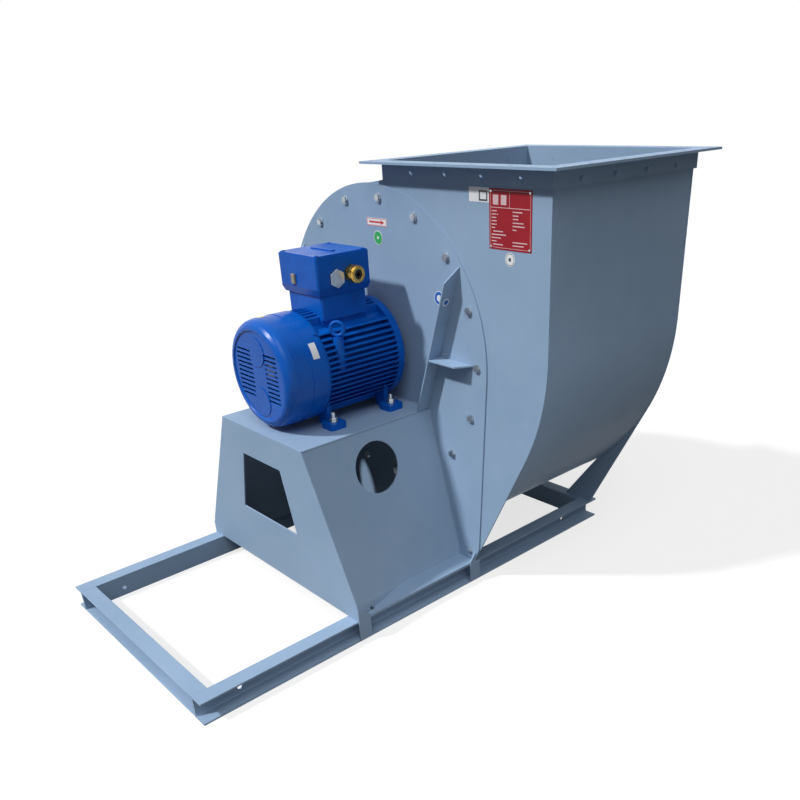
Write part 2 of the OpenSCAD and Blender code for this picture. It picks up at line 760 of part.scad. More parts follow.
module impeller_hub() color(bare) placed() difference() {
    about_shaft() polygon([[shaft_r + fit_gap, hub_y0], [hub_r, hub_y0],
        [hub_r, back_y - hub_flange_t], [hub_flange_r, back_y - hub_flange_t],
        [hub_flange_r, back_y], [hub_r, back_y], [hub_r, hub_y1], [shaft_r + fit_gap, hub_y1]]);
    key_slot(key_w + 2 * fit_gap, key_h + 2 * fit_gap, hub_y0 - over, hub_y1 + over);
    hub_rivet_places() rod_y(hub_rivet_r + fit_gap, back_y - hub_flange_t - over, back_y + over);
}
module hub_rivet_places() on_shaft() for (i = [0 : hub_rivets_n - 1])
    at_polar(hub_rivet_circle, (i + 0.5) * 360 / hub_rivets_n) children();
module hub_rivets() color(zinc) placed() hub_rivet_places() {
    rod_y(hub_rivet_r * 1.6, back_y - hub_flange_t - hub_rivet_r, back_y - hub_flange_t);
    rod_y(hub_rivet_r, back_y - hub_flange_t - over, back_y + back_t + over);
    rod_y(hub_rivet_r * 1.6, back_y + back_t, back_y + back_t + hub_rivet_r);
}
module hub_bolt() color(zinc) placed() on_shaft() {
    rod_y(bolt_washer_r, shaft_end, shaft_end + bolt_washer_t);
    rod_y(end_bolt_r, shaft_end - end_bolt_len, shaft_end + bolt_washer_t);
    translate([0, shaft_end + bolt_washer_t, 0]) rotate([-90, 0, 0])
        cylinder(r = hex_corner(end_bolt_af), h = end_bolt_h, $fn = 6);
}

// Shaft, along the shaft axis from the cooling fan to the impeller
module motor_shaft() color(bare) placed() difference() {
    about_shaft() polygon([[0, shaft_fan_end], [fan_seat_r, shaft_fan_end],
        [fan_seat_r, bearing_y2 - over], [seat_r, bearing_y2 - over],
        [seat_r, bearing_y2 + bearing_w], [mid_r, bearing_y2 + bearing_w],
        [mid_r, bearing_y1], [seat_r, bearing_y1],
        [seat_r, shoulder_y], [shaft_r, shoulder_y], [shaft_r, shaft_end], [0, shaft_end]]);
    key_slot(key_w + 2 * fit_gap, key_h + 2 * fit_gap, key_y - fit_gap, key_y + key_len + fit_gap);
    on_shaft() rod_y(end_bolt_r + fit_gap, shaft_end - end_bolt_len - over, shaft_end + over);
}
module shaft_key() color(bare) placed() key_slot(key_w, key_h, key_y, key_y + key_len);
module rotor_core() color(bare) placed() about_shaft()
    polygon([[mid_r + fit_gap, core_y0], [stator_in_r - run_gap, core_y0],
        [stator_in_r - run_gap, core_y1], [mid_r + fit_gap, core_y1]]);
module ring(r0, r1, y0, y1) about_shaft() polygon([[r0, y0], [r1, y0], [r1, y1], [r0, y1]]);
module cooling_fan() color(steel_dark) placed() union() {
    ring(fan_seat_r + fit_gap, fan_hub_r, fan_y - fan_len, fan_y);
    ring(fan_hub_r, fan_tip_r, fan_y - fan_disc_t, fan_y);
    on_shaft() for (i = [0 : fan_blades - 1]) rotate([0, i * 360 / fan_blades, 0])
        block([fan_hub_r - over, fan_y - fan_len * 0.8, -fan_disc_t / 2],
            [fan_tip_r * 0.97, fan_y, fan_disc_t / 2]);
}
module bearing_inner_rings() color(zinc) placed() {
    ring(seat_r + fit_gap, bearing_inner_r, bearing_y1, bearing_y1 + bearing_w);
    ring(seat_r + fit_gap, bearing_inner_r, bearing_y2, bearing_y2 + bearing_w);
}
module bearing_outer_rings() color(zinc) placed() {
    ring(bearing_outer_r, bearing_r - fit_gap, bearing_y1, bearing_y1 + bearing_w);
    ring(bearing_outer_r, bearing_r - fit_gap, bearing_y2, bearing_y2 + bearing_w);
}

// Motor frame: a finned barrel with four feet, a pad for the terminal box and a boss for the eye
module foot_pad() {
    square([2 * foot_half_x - 2 * foot_corner, 2 * foot_half_y], center = true);
    square([2 * foot_half_x, 2 * foot_half_y - 2 * foot_corner], center = true);
    for (x = [-1, 1], y = [-1, 1])
        translate([x * (foot_half_x - foot_corner), y * (foot_half_y - foot_corner)]) circle(foot_corner);
}
module motor_frame() color(blue) placed() difference() {
    union() {
        on_shaft() rod_y(body_r, frame_y0, frame_y1);
        intersection() {
            on_shaft() rod_y(fin_r, frame_y0 + fin_t, frame_y1 - fin_t);
            on_shaft() union() {
                for (i = [-fin_rows : fin_rows]) block([-fin_r, frame_y0, i * fin_pitch - fin_t / 2],
                    [fin_r, frame_y1, i * fin_pitch + fin_t / 2]);
                for (i = [-top_fin_rows : top_fin_rows])
                    block([i * top_fin_pitch - fin_t / 2, frame_y0, -fin_r],
                        [i * top_fin_pitch + fin_t / 2, frame_y1, fin_r]);
            }
        }
        on_shaft() rod_y(shield_r, frame_y1 - fin_t * 2, frame_y1);
        on_shaft() rod_y(shield_r, frame_y0, frame_y0 + fin_t * 2);
        block([-pad_half, neck_y0, shaft_z], [pad_half, neck_y1, neck_low]);
        translate([eye_x, eye_y, shaft_z]) cylinder(r = eye_boss_r,
            h = eye_z - eye_ring_r - eye_bar_r - eye_collar_t - shaft_z);
        for (s = [-1, 1], y = [-foot_y1, -foot_y2]) {
            translate([s * foot_x, y, ped_h]) linear_extrude(foot_t) foot_pad();
            block([min(s * foot_rib_in, s * foot_rib_out), y - foot_rib_t / 2, ped_h],
                [max(s * foot_rib_in, s * foot_rib_out), y + foot_rib_t / 2, foot_rib_top]);
        }
    }
    on_shaft() rod_y(bore_r, frame_y0 - over, frame_y1 + over);
    block([-pad_half + box_wall * 3, neck_y0 + box_wall * 3, shaft_z],
        [pad_half - box_wall * 3, neck_y1 - box_wall * 3, neck_low + over]);
    translate([eye_x, eye_y, eye_z - eye_ring_r - eye_bar_r - eye_collar_t - eye_shank_len - over])
        cylinder(r = eye_shank_r + fit_gap, h = eye_shank_len + 2 * over);
    translate([eye_x, eye_y, eye_z - eye_ring_r - eye_bar_r - eye_collar_t])
        cylinder(r = eye_boss_r, h = eye_ring_r * 2);
    block([-neck_half, neck_y0, neck_low], [neck_half, neck_y1, box_low]);
    for (s = [-1, 1], y = [-foot_y1, -foot_y2])
        translate([s * foot_x, y, ped_h - over]) cylinder(r = stud_r + hole_gap, h = foot_t + 2 * over);
    shield_bolt_places() rod_y(small_r + hole_gap, frame_y1 - fin_t * 3, frame_y1 + over);
}
module shield_bolt_places() on_shaft() for (i = [0 : 3])
    at_polar(shield_bolt_circle, shield_bolt_angle + i * 90) children();
module motor_shield_drive() color(blue) placed() difference() {
    about_shaft() polygon([[bore_r - fit_gap, frame_y1 - spigot_len], [bore_r - fit_gap, frame_y1],
        [shield_r, frame_y1], [shield_r, frame_y1 + shield_t * 0.7],
        [shield_r - shield_t * 0.3, frame_y1 + shield_t], [boss_r * 1.2, bearing_y1 - shield_wall],
        [boss_r, bearing_y1 - shield_wall / 2], [boss_r, boss_y], [seat_r + run_gap, boss_y],
        [seat_r + run_gap, bearing_y1 + bearing_w], [bearing_r, bearing_y1 + bearing_w],
        [bearing_r, bearing_y1 - shield_wall], [bearing_r + shield_wall / 2, bearing_y1 - 2 * shield_wall],
        [bore_r - shield_wall, frame_y1], [bore_r - shield_wall, frame_y1 - spigot_len]]);
    shield_bolt_places() {
        rod_y(small_r + hole_gap, frame_y1 - over, frame_y1 + shield_t + over);
        rod_y(small_af, frame_y1 + shield_t, frame_y1 + 2 * shield_t);
    }
}
module motor_shield_rear() color(blue) placed() about_shaft() polygon([
    [bore_r - fit_gap, frame_y0 + spigot_len], [bore_r - fit_gap, frame_y0],
    [shield_r - shield_wall / 2, frame_y0], [shield_r - shield_wall / 2, frame_y0 - shield_t / 2],
    [boss_r, bearing_y2], [boss_r, bearing_y2 - shield_wall / 2],
    [fan_seat_r + over + run_gap, bearing_y2 - shield_wall / 2], [fan_seat_r + over + run_gap, bearing_y2 - run_gap],
    [bearing_r, bearing_y2 - run_gap], [bearing_r, bearing_y2 + bearing_w],
    [bore_r - shield_wall, frame_y0], [bore_r - shield_wall, frame_y0 + spigot_len]]);
module shield_bolts() color(zinc) placed() shield_bolt_places() {
    translate([0, frame_y1 + shield_t, 0]) rotate([-90, 0, 0])
        cylinder(r = hex_corner(small_af * 1.3), h = small_h * 1.3, $fn = 6);
    rod_y(small_r, frame_y1 - fin_t * 2, frame_y1 + shield_t + small_h);
}
module stator_core() color(bare) placed() ring(stator_in_r, bore_r - fit_gap, core_y0, core_y1);
module stator_windings() color(brass) placed() {
    ring(winding_in_r, winding_out_r, core_y0 - winding_len, core_y0);
    ring(winding_in_r, winding_out_r, core_y1, core_y1 + winding_len);
}

// Fan cowl: a spun cap with two columns of slots and two round pads on its end
module cowl_profile() {
    t = cowl_t;
    e = -cowl_end;
    r = cowl_r - cowl_step;
    polygon([[cowl_r - t, frame_y0], [cowl_r, frame_y0], [cowl_r, cowl_step_y], [r, cowl_step_y],
        [r, e + cowl_round_y], [r - t * 0.7, e + cowl_round_y * 0.62],
        [r - t * 2.2, e + cowl_round_y * 0.33], [r - t * 4.4, e + cowl_round_y * 0.12],
        [r - t * 6.6, e + cowl_round_y * 0.02], [cowl_ring_r, e],
        [cowl_ring_r - t, e + cowl_face_in], [0, e + cowl_face_in], [0, e + cowl_face_in + t],
        [cowl_ring_r - t, e + cowl_face_in + t], [r - t * 6, e + cowl_round_y * 0.26],
        [r - t * 3, e + cowl_round_y * 0.5], [r - t, e + cowl_round_y + t],
        [r - t, cowl_step_y + t], [cowl_r - t, cowl_step_y + 2 * t]]);
}
module fan_cowl() color(blue) placed() difference() {
    union() {
        about_shaft() cowl_profile();
        for (z = cowl_pads_z) translate([0, 0, z])
            on_shaft() rod_y(cowl_pad_r, -cowl_end + cowl_face_in - cowl_pad_t, -cowl_end + cowl_face_in);
    }
    for (i = [-slot_rows : slot_rows], s = [slot_left, slot_right]) {
        z = i * slot_pitch;
        reach = sqrt(pow(cowl_ring_r - 3 * cowl_t, 2) - z * z);
        on_shaft() block([max(s[0], -reach), -cowl_end, z - slot_h / 2],
            [min(s[1], reach), -cowl_end + cowl_face_in + cowl_t + over, z + slot_h / 2]);
    }
    cowl_screw_places() rod_y(small_r + fit_gap, -over, cowl_t * 4);
}
module cowl_screw_places() on_shaft() for (i = [0 : 3]) rotate([0, i * 90 + 45, 0])
    translate([cowl_r, frame_y0 - shield_t / 4, 0]) rotate([0, 0, 90]) children();
module cowl_screws() color(zinc) placed() cowl_screw_places() {
    rod_y(small_r * 1.7, -small_r, 0);
    rod_y(small_r, -small_r, cowl_t + small_r * 0.2);
}

// Terminal box on its neck
module round_rect(x, y0, y1, r) {
    translate([-x, y0 + r]) square([2 * x, y1 - y0 - 2 * r]);
    translate([-x + r, y0]) square([2 * x - 2 * r, y1 - y0]);
    for (sx = [-x + r, x - r], sy = [y0 + r, y1 - r]) translate([sx, sy]) circle(r, $fn = 32);
}
module terminal_neck() color(blue) placed() difference() {
    union() {
        along_z(neck_low, box_low) round_rect(neck_half, neck_y0, neck_y1, box_corner);
    }
    along_z(neck_low - over, box_low + over)
        round_rect(neck_half - 2 * box_wall, neck_y0 + 2 * box_wall, neck_y1 - 2 * box_wall, box_corner);
}
box_lid_z = box_top - lid_h;
module box_shell(d, z0, z1) intersection() {
    along_z(z0, z1) round_rect(box_half - d, box_y0 + d, box_y1 - d, box_corner);
    along_y(box_y0, box_y1) polygon([[-box_half + bevel_in + d, z0], [-box_half + d, z0 + bevel_h],
        [-box_half + d, z1], [box_half - d, z1], [box_half - d, z0 + bevel_h],
        [box_half - bevel_in - d, z0]]);
    along_x(-box_half, box_half) polygon([[box_y0 + bevel_in + d, z0], [box_y0 + d, z0 + bevel_h],
        [box_y0 + d, z1], [box_y1 - d, z1], [box_y1 - d, z0 + bevel_h], [box_y1 - bevel_in - d, z0]]);
}
module terminal_box() color(blue) placed() difference() {
    box_shell(0, box_low, box_lid_z);
    box_shell(box_wall, box_low + box_wall, box_lid_z + over);
    along_z(box_low - over, box_low + box_wall + over)
        round_rect(block_l / 2, neck_y0 + 4 * box_wall, neck_y1 - 4 * box_wall, box_corner);
    translate([0, gland_y, gland_z])
        rod_x(gland_thread_r + fit_gap, box_half - box_wall - over, box_half + over);
    translate([0, plug_y, plug_z])
        rod_x(plug_thread_r + fit_gap, box_half - box_wall - over, box_half + over);
    lid_screw_places() translate([0, 0, -lid_h]) cylinder(r = small_r + fit_gap, h = lid_h);
}
module lid_screw_places() for (x = [-1, 1], y = [box_y0 + box_corner * 1.6, box_y1 - box_corner * 1.6])
    translate([x * (box_half - box_corner * 1.6), y, box_lid_z]) children();
module terminal_lid() color(blue) placed() difference() {
    union() {
        along_z(box_lid_z, box_top - lid_bar_h) round_rect(box_half, box_y0, box_y1, box_corner);
        along_z(box_top - lid_bar_h, box_top)
            round_rect(box_half - lid_bar_h, box_y0 + lid_bar_h, box_y1 - lid_bar_h, box_corner);
        translate([0, (box_y0 + box_y1) / 2, 0]) along_z(box_top, box_top + lid_bar_h)
            square([lid_bar_l, lid_bar_w], center = true);
    }
    along_z(box_lid_z - over, box_top - 2 * box_wall)
        round_rect(box_half - 4 * box_wall, box_y0 + 4 * box_wall, box_y1 - 4 * box_wall, box_corner);
    lid_screw_places() translate([0, 0, -over]) cylinder(r = small_r + fit_gap, h = lid_h + 2 * over);
}
module lid_screws() color(blue) placed() lid_screw_places() {
    translate([0, 0, -small_h]) cylinder(r = small_r, h = lid_h + small_h);
    translate([0, 0, lid_h]) cylinder(r = small_r * 1.8, h = small_r * 0.6);
}
module terminal_block() color([0.15, 0.15, 0.16]) placed() union() {
    block([-block_l / 2, box_y0 + block_w / 2, box_low + box_wall],
        [block_l / 2, box_y0 + block_w / 2 + block_w, box_low + box_wall + block_h / 2]);
    for (x = [-1, 0, 1], y = [0.3, 0.7])
        translate([x * block_l / 3, box_y0 + block_w / 2 + y * block_w, box_low + box_wall])
        cylinder(r = block_stud_r, h = block_h / 2 + block_stud_h);
}
module blanking_plug() color(zinc) placed() translate([0, plug_y, plug_z]) {
    translate([box_half, 0, 0]) rotate([0, 90, 0]) cylinder(r = hex_corner(plug_af), h = plug_h, $fn = 6);
    rod_x(plug_thread_r, box_half - 2 * box_wall, box_half + over);
}
module side_plug() color(zinc) placed()
    block([side_plug_x - side_plug_w / 2, box_y0 - side_plug_d, side_plug_z - side_plug_h / 2],
        [side_plug_x + side_plug_w / 2, box_y0, side_plug_z + side_plug_h / 2]);
module gland_body() color(brass) placed() translate([0, gland_y, gland_z]) difference() {
    union() {
        translate([box_half, 0, 0]) rotate([0, 90, 0])
            cylinder(r = hex_corner(gland_af), h = gland_flange, $fn = 6);
        rod_x(gland_neck_r, box_half + gland_flange, box_half + gland_len);
        rod_x(gland_thread_r, box_half - 2 * box_wall, box_half + over);
    }
    rod_x(gland_bore_r, box_half - 2 * box_wall - over, box_half + gland_len + over);
}
module gland_nut() color(brass) placed() translate([0, gland_y, gland_z]) difference() {
    union() {
        rod_x(gland_nut_r, box_half + gland_flange + over, box_half + gland_flange + gland_nut_len);
        rod_x(gland_nut_r - over, box_half + gland_flange + gland_nut_len,
            box_half + gland_flange + gland_nut_len + 2 * over);
    }
    rod_x(gland_neck_r + fit_gap, box_half + gland_flange, box_half + gland_len);
    rod_x(gland_bore_r, box_half, box_half + gland_flange + gland_nut_len + 4 * over);
}
module lifting_eye() color(zinc) placed() translate([eye_x, eye_y, eye_z]) {
    rotate([0, 0, eye_turn]) rotate([90, 0, 0]) rotate_extrude() translate([eye_ring_r, 0]) circle(eye_bar_r, $fn = 32);
    translate([0, 0, -eye_ring_r - eye_bar_r - eye_collar_t]) {
        cylinder(r = eye_collar_r, h = eye_collar_t);
        cylinder(r = eye_shank_r, h = eye_collar_t + eye_bar_r);
        translate([0, 0, -eye_shank_len]) cylinder(r = eye_shank_r, h = eye_shank_len + over);
    }
}
module motor_foot_bolts() color(zinc) placed() for (x = [-foot_x, foot_x], y = [-foot_y1, -foot_y2])
    translate([x, y, ped_h]) {
        translate([0, 0, foot_t]) cylinder(r = washer_r * 1.2, h = washer_t);
        translate([0, 0, foot_t + washer_t]) cylinder(r = hex_corner(nut_af), h = nut_h, $fn = 6);
        translate([0, 0, -ped_t - hex_h]) cylinder(r = stud_r, h = ped_t + hex_h + stud_top);
        translate([0, 0, -ped_t - hex_h]) cylinder(r = hex_corner(nut_af), h = hex_h, $fn = 6);
    }

// Plates and labels
module rating_plate() color([0.58, 0.12, 0.16]) placed() difference() {
    block([rating_x, casing_y0 - label_t, rating_z], [rating_x + plate_s, casing_y0, rating_z + plate_s]);
    rivet_places() rod_y(rivet_r / 2 + fit_gap, -label_t - over, over);
}
module rivet_places() for (x = [rivet_in, plate_s - rivet_in], z = [rivet_in, plate_s - rivet_in])
    translate([rating_x + x, casing_y0, rating_z + z]) children();
module plate_rivets() color(zinc) placed() rivet_places() {
    rod_y(rivet_r, -label_t - rivet_head, -label_t);
    rod_y(rivet_r / 2, -label_t - rivet_head, 0);
}
module casing_labels() color([0.92, 0.93, 0.94]) placed() {
    block([white_label_x, casing_y0 - label_t, white_label_z],
        [white_label_x + white_label_w, casing_y0, white_label_z + white_label_h]);
    translate([round_label_x, 0, round_label_z]) rod_y(round_label_r, casing_y0 - label_t, casing_y0);
}
module drive_plate_labels() color([0.92, 0.93, 0.94]) placed() {
    block([arrow_label_x, -label_t, arrow_label_z],
        [arrow_label_x + arrow_label_w, 0, arrow_label_z + arrow_label_h]);
    translate([green_label_x, 0, green_label_z]) rod_y(green_label_r, -label_t, 0);
    translate([blue_label_x, 0, blue_label_z]) rod_y(blue_label_r, -label_t, 0);
}
module cowl_label(y0, y1, r, a0, a1) intersection() {
    ring(r + fit_gap, r + fit_gap + label_t, y0, y1);
    on_shaft() along_y(y0, y1) polygon([[0, 0], 2 * r * [cos(a0), sin(a0)], 2 * r * [cos(a1), sin(a1)]]);
}
label_front_y = -341;
label_edge_y = -398;
motor_label_turn = 28;
edge_label_turn = 102;
module motor_labels() color([0.92, 0.90, 0.80]) placed() {
    a = motor_label_len / cowl_r * 90 / PI;
    cowl_label(label_front_y, label_front_y + motor_label_w, cowl_r,
        motor_label_turn - a, motor_label_turn + a);
    cowl_label(label_edge_y, label_edge_y + motor_label_w, cowl_r - cowl_step,
        edge_label_turn - a, edge_label_turn + a);
}

base_rail_right();
base_rail_left();
base_cross_front();
base_cross_rear();
rail_straps();
base_bolts();
pedestal_front();
pedestal_side_right();
pedestal_side_left();
pedestal_top();
drive_plate();
arm_right();
arm_left();
arm_shelves();
drive_plate_bolts();
casing_side_drive();
casing_wrap();
casing_side_inlet();
outlet_flange();
outlet_flange_bolts();
inlet_cone();
inlet_flange();
inlet_bolts();
impeller_back_plate();
impeller_shroud();
impeller_blades();
impeller_hub();
hub_rivets();
hub_bolt();
motor_shaft();
shaft_key();
rotor_core();
cooling_fan();
bearing_inner_rings();
bearing_outer_rings();
motor_frame();
motor_shield_drive();
motor_shield_rear();
shield_bolts();
stator_core();
stator_windings();
fan_cowl();
cowl_screws();
terminal_neck();
terminal_box();
terminal_lid();
lid_screws();
terminal_block();
blanking_plug();
side_plug();
gland_body();
gland_nut();
lifting_eye();
motor_foot_bolts();
rating_plate();
plate_rivets();
casing_labels();
drive_plate_labels();
motor_labels();
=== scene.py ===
import json
import bmesh
import bpy
import numpy as np
from mathutils import Matrix

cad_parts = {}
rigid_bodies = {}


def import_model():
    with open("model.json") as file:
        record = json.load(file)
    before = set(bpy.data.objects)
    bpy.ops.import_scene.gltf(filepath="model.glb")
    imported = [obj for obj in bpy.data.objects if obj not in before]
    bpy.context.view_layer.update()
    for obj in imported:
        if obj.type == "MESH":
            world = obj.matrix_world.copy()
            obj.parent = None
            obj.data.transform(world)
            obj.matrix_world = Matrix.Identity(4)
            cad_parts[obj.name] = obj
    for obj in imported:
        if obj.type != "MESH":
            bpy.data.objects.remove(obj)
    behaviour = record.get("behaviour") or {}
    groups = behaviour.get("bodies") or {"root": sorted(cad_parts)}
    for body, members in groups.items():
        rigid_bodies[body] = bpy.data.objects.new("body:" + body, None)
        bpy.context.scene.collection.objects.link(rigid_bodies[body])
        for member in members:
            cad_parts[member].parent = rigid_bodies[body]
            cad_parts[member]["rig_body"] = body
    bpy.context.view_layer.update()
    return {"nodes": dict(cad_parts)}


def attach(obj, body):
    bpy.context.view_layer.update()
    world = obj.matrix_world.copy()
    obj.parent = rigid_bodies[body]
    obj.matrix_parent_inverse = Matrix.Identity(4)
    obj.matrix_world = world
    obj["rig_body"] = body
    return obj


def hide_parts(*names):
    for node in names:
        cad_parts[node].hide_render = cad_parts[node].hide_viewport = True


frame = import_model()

nodes = frame["nodes"]
print("frame loaded,", len(nodes), "nodes")


# Sizes below are in mm from the shaft's upright plane (x), the drive plate's motor side (y) and the floor (z).
# metres = (mm - origin) / 1000
shaftOrigin = {"x": 106.5, "y": -157.0}


def metres(points):
    # mm to the frame's metres, for an array of points of any shape ending in x, y, z
    return (np.asarray(points, float) - [shaftOrigin["x"], shaftOrigin["y"], 0.0]) / 1000.0


def linear(hexColour):
    # sRGB to linear: c / 12.92 below 0.04045, else ((c + 0.055) / 1.055) to the power 2.4
    c = np.array([int(hexColour[i:i + 2], 16) / 255.0 for i in (1, 3, 5)])
    return tuple(np.where(c <= 0.04045, c / 12.92, ((c + 0.055) / 1.055) ** 2.4)) + (1.0,)


def addNode(tree, kind, settings=None, links=None):
    # settings are the node's own properties or its sockets' values; links give socket: (node, output)
    made = tree.nodes.new(kind)
    for key, value in (settings or {}).items():
        if isinstance(key, str) and hasattr(made, key):
            setattr(made, key, value)
        else:
            made.inputs[key].default_value = value
    for key, (source, output) in (links or {}).items():
        tree.links.new(source.outputs[output], made.inputs[key])
    return made


def finishPiece(name, mesh, material, turn=30.0, body="fan"):
    # a mesh made into a piece of a body, smooth but for edges sharper than turn degrees
    mesh.update()
    mesh.shade_smooth()
    mesh.set_sharp_from_angle(angle=np.radians(turn))
    mesh.materials.append(material)
    piece = bpy.data.objects.new(name, mesh)
    bpy.context.scene.collection.objects.link(piece)
    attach(piece, body)
    return piece


def gridFaces(rows, columns, offset=0):
    # quads of a grid whose second parameter closes on itself
    i, j = np.meshgrid(np.arange(rows - 1), np.arange(columns), indexing="ij")
    k = (j + 1) % columns
    quads = np.stack([i * columns + j, (i + 1) * columns + j, (i + 1) * columns + k, i * columns + k], -1)
    return (quads.reshape(-1, 4) + offset).tolist()


def outwardMesh(name, points, faces):
    # a mesh from points in mm, every face turned outward
    mesh = bpy.data.meshes.new(name)
    mesh.from_pydata(metres(points).tolist(), [], faces)
    facing = bmesh.new()
    facing.from_mesh(mesh)
    bmesh.ops.recalc_face_normals(facing, faces=facing.faces)
    facing.to_mesh(mesh)
    facing.free()
    return mesh


def placed(right, up, back, place):
    # the matrix whose columns are three axes and a place
    columns = np.stack([right, up, back, place], 1)
    return Matrix(np.concatenate([columns, [[0.0, 0.0, 0.0, 1.0]]]).tolist())


def sweptPiece(name, sections, material, turn=30.0):
    # sections[i, j] is point j of the closed section at step i of a path; both ends are capped flat
    sections = np.asarray(sections, float)
    rows, columns = sections.shape[:2]
    faces = gridFaces(rows, columns)
    faces += [list(range(columns)), [(rows - 1) * columns + j for j in reversed(range(columns))]]
    return finishPiece(name, outwardMesh(name, sections.reshape(-1, 3), faces), material, turn)


def resample(path, step):
    # points every step mm along a polyline, by interpolating over its running length
    path = np.asarray(path, float)
    along = np.concatenate([[0.0], np.cumsum(np.linalg.norm(np.diff(path, axis=0), axis=1))])
    count = max(int(np.ceil(along[-1] / step)) + 1, 2)
    s = np.linspace(0.0, along[-1], count)
    return np.stack([np.interp(s, along, path[:, k]) for k in range(path.shape[1])], -1), s


beadShape = {"low": 0.86, "ripple": 0.14, "end": 0.25, "stepsInPitch": 3.0, "turn": 60.0}


def beadSections(path, size, pitch, up, sides=8):
    # a weld bead: rings about the path, their radius size * (low + ripple |sin(pi s / pitch)|), tapered at both ends
    path, s = resample(path, pitch / beadShape["stepsInPitch"])
    tangent = np.gradient(path, axis=0)
    tangent /= np.linalg.norm(tangent, axis=1, keepdims=True)
    side = np.cross(tangent, np.asarray(up, float))
    side /= np.linalg.norm(side, axis=1, keepdims=True)
    over = np.cross(side, tangent)
    radius = size * (beadShape["low"] + beadShape["ripple"] * np.abs(np.sin(np.pi * s / pitch)))
    radius *= np.clip(np.minimum(s, s[-1] - s) / (2.0 * size), beadShape["end"], 1.0)
    angle = np.linspace(0.0, 2.0 * np.pi, sides, endpoint=False)
    ring = np.cos(angle)[None, :, None] * side[:, None, :] + np.sin(angle)[None, :, None] * over[:, None, :]
    return path[:, None, :] + radius[:, None, None] * ring


def joinedBeads(name, beads, material):
    # several beads as the parts of one mesh, each capped at both ends
    points, faces, offset = [], [], 0
    for sections in beads:
        rows, columns = sections.shape[:2]
        points.append(sections.reshape(-1, 3))
        faces += gridFaces(rows, columns, offset)
        faces += [[offset + j for j in range(columns)],
                  [offset + (rows - 1) * columns + j for j in reversed(range(columns))]]
        offset += rows * columns
    return finishPiece(name, outwardMesh(name, np.concatenate(points), faces), material, beadShape["turn"])


def arcPoints(centre, radius, start, end, count):
    # count points on an arc in the x-z plane, angles in degrees
    a = np.radians(np.linspace(start, end, count))
    return np.stack([centre[0] + radius * np.cos(a), centre[1] + radius * np.sin(a)], -1)


noises = {"broad": {"Detail": 4.0, "Roughness": 0.55}, "dust": {"Detail": 6.0, "Roughness": 0.62},
          "grain": {"Detail": 2.0, "Roughness": 0.5}}


def addNoise(tree, look, kind, coordinates):
    # a noise with one period in as many mm as the look says: scale = 1000 / mm, for coordinates in metres
    return addNode(tree, "ShaderNodeTexNoise", {"Scale": 1000.0 / look[kind + "Mm"], **noises[kind]},
                   {"Vector": coordinates})


def surfaceMaterial(name, look):
    # colour drifts between two tones over broadMm, a finer film of dust over dustMm, a bump over grainMm
    material = bpy.data.materials.new(name)
    material.use_nodes = True
    tree = material.node_tree
    tree.nodes.clear()
    out = addNode(tree, "ShaderNodeOutputMaterial")
    where = addNode(tree, "ShaderNodeTexCoord")
    stretch = addNode(tree, "ShaderNodeMapping", {"Scale": look.get("stretch", (1.0, 1.0, 1.0))},
                      {"Vector": (where, "Object")})
    broad = addNoise(tree, look, "broad", (where, "Object"))
    dust = addNoise(tree, look, "dust", (stretch, "Vector"))
    grain = addNoise(tree, look, "grain", (stretch, "Vector"))
    drift = addNode(tree, "ShaderNodeMapRange", {"From Min": 0.35, "From Max": 0.65}, {"Value": (broad, "Fac")})
    tone = addNode(tree, "ShaderNodeMix", {"data_type": "RGBA", 6: linear(look["deep"]), 7: linear(look["pale"])},
                   {0: (drift, "Result")})
    film = addNode(tree, "ShaderNodeMapRange", {"From Min": 0.5, "From Max": 0.8, "To Max": look["dust"]},
                   {"Value": (dust, "Fac")})
    colour = addNode(tree, "ShaderNodeMix", {"data_type": "RGBA", 7: linear(look["dustColour"])},
                     {0: (film, "Result"), 6: (tone, 2)})
    smooth, rough = look["rough"]
    gloss = addNode(tree, "ShaderNodeMapRange", {"From Min": 0.3, "From Max": 0.7, "To Min": smooth, "To Max": rough},
                    {"Value": (dust, "Fac")})
    bump = addNode(tree, "ShaderNodeBump", {"Strength": 1.0, "Distance": look["reliefMm"] / 1000.0},
                   {"Height": (grain, "Fac")})
    shader = addNode(tree, "ShaderNodeBsdfPrincipled",
                     {"Metallic": look.get("metallic", 0.0), "Specular IOR Level": look.get("specular", 0.5)},
                     {"Base Color": (colour, 2), "Roughness": (gloss, "Result"), "Normal": (bump, "Normal")})
    tree.links.new(shader.outputs["BSDF"], out.inputs["Surface"])
    return material


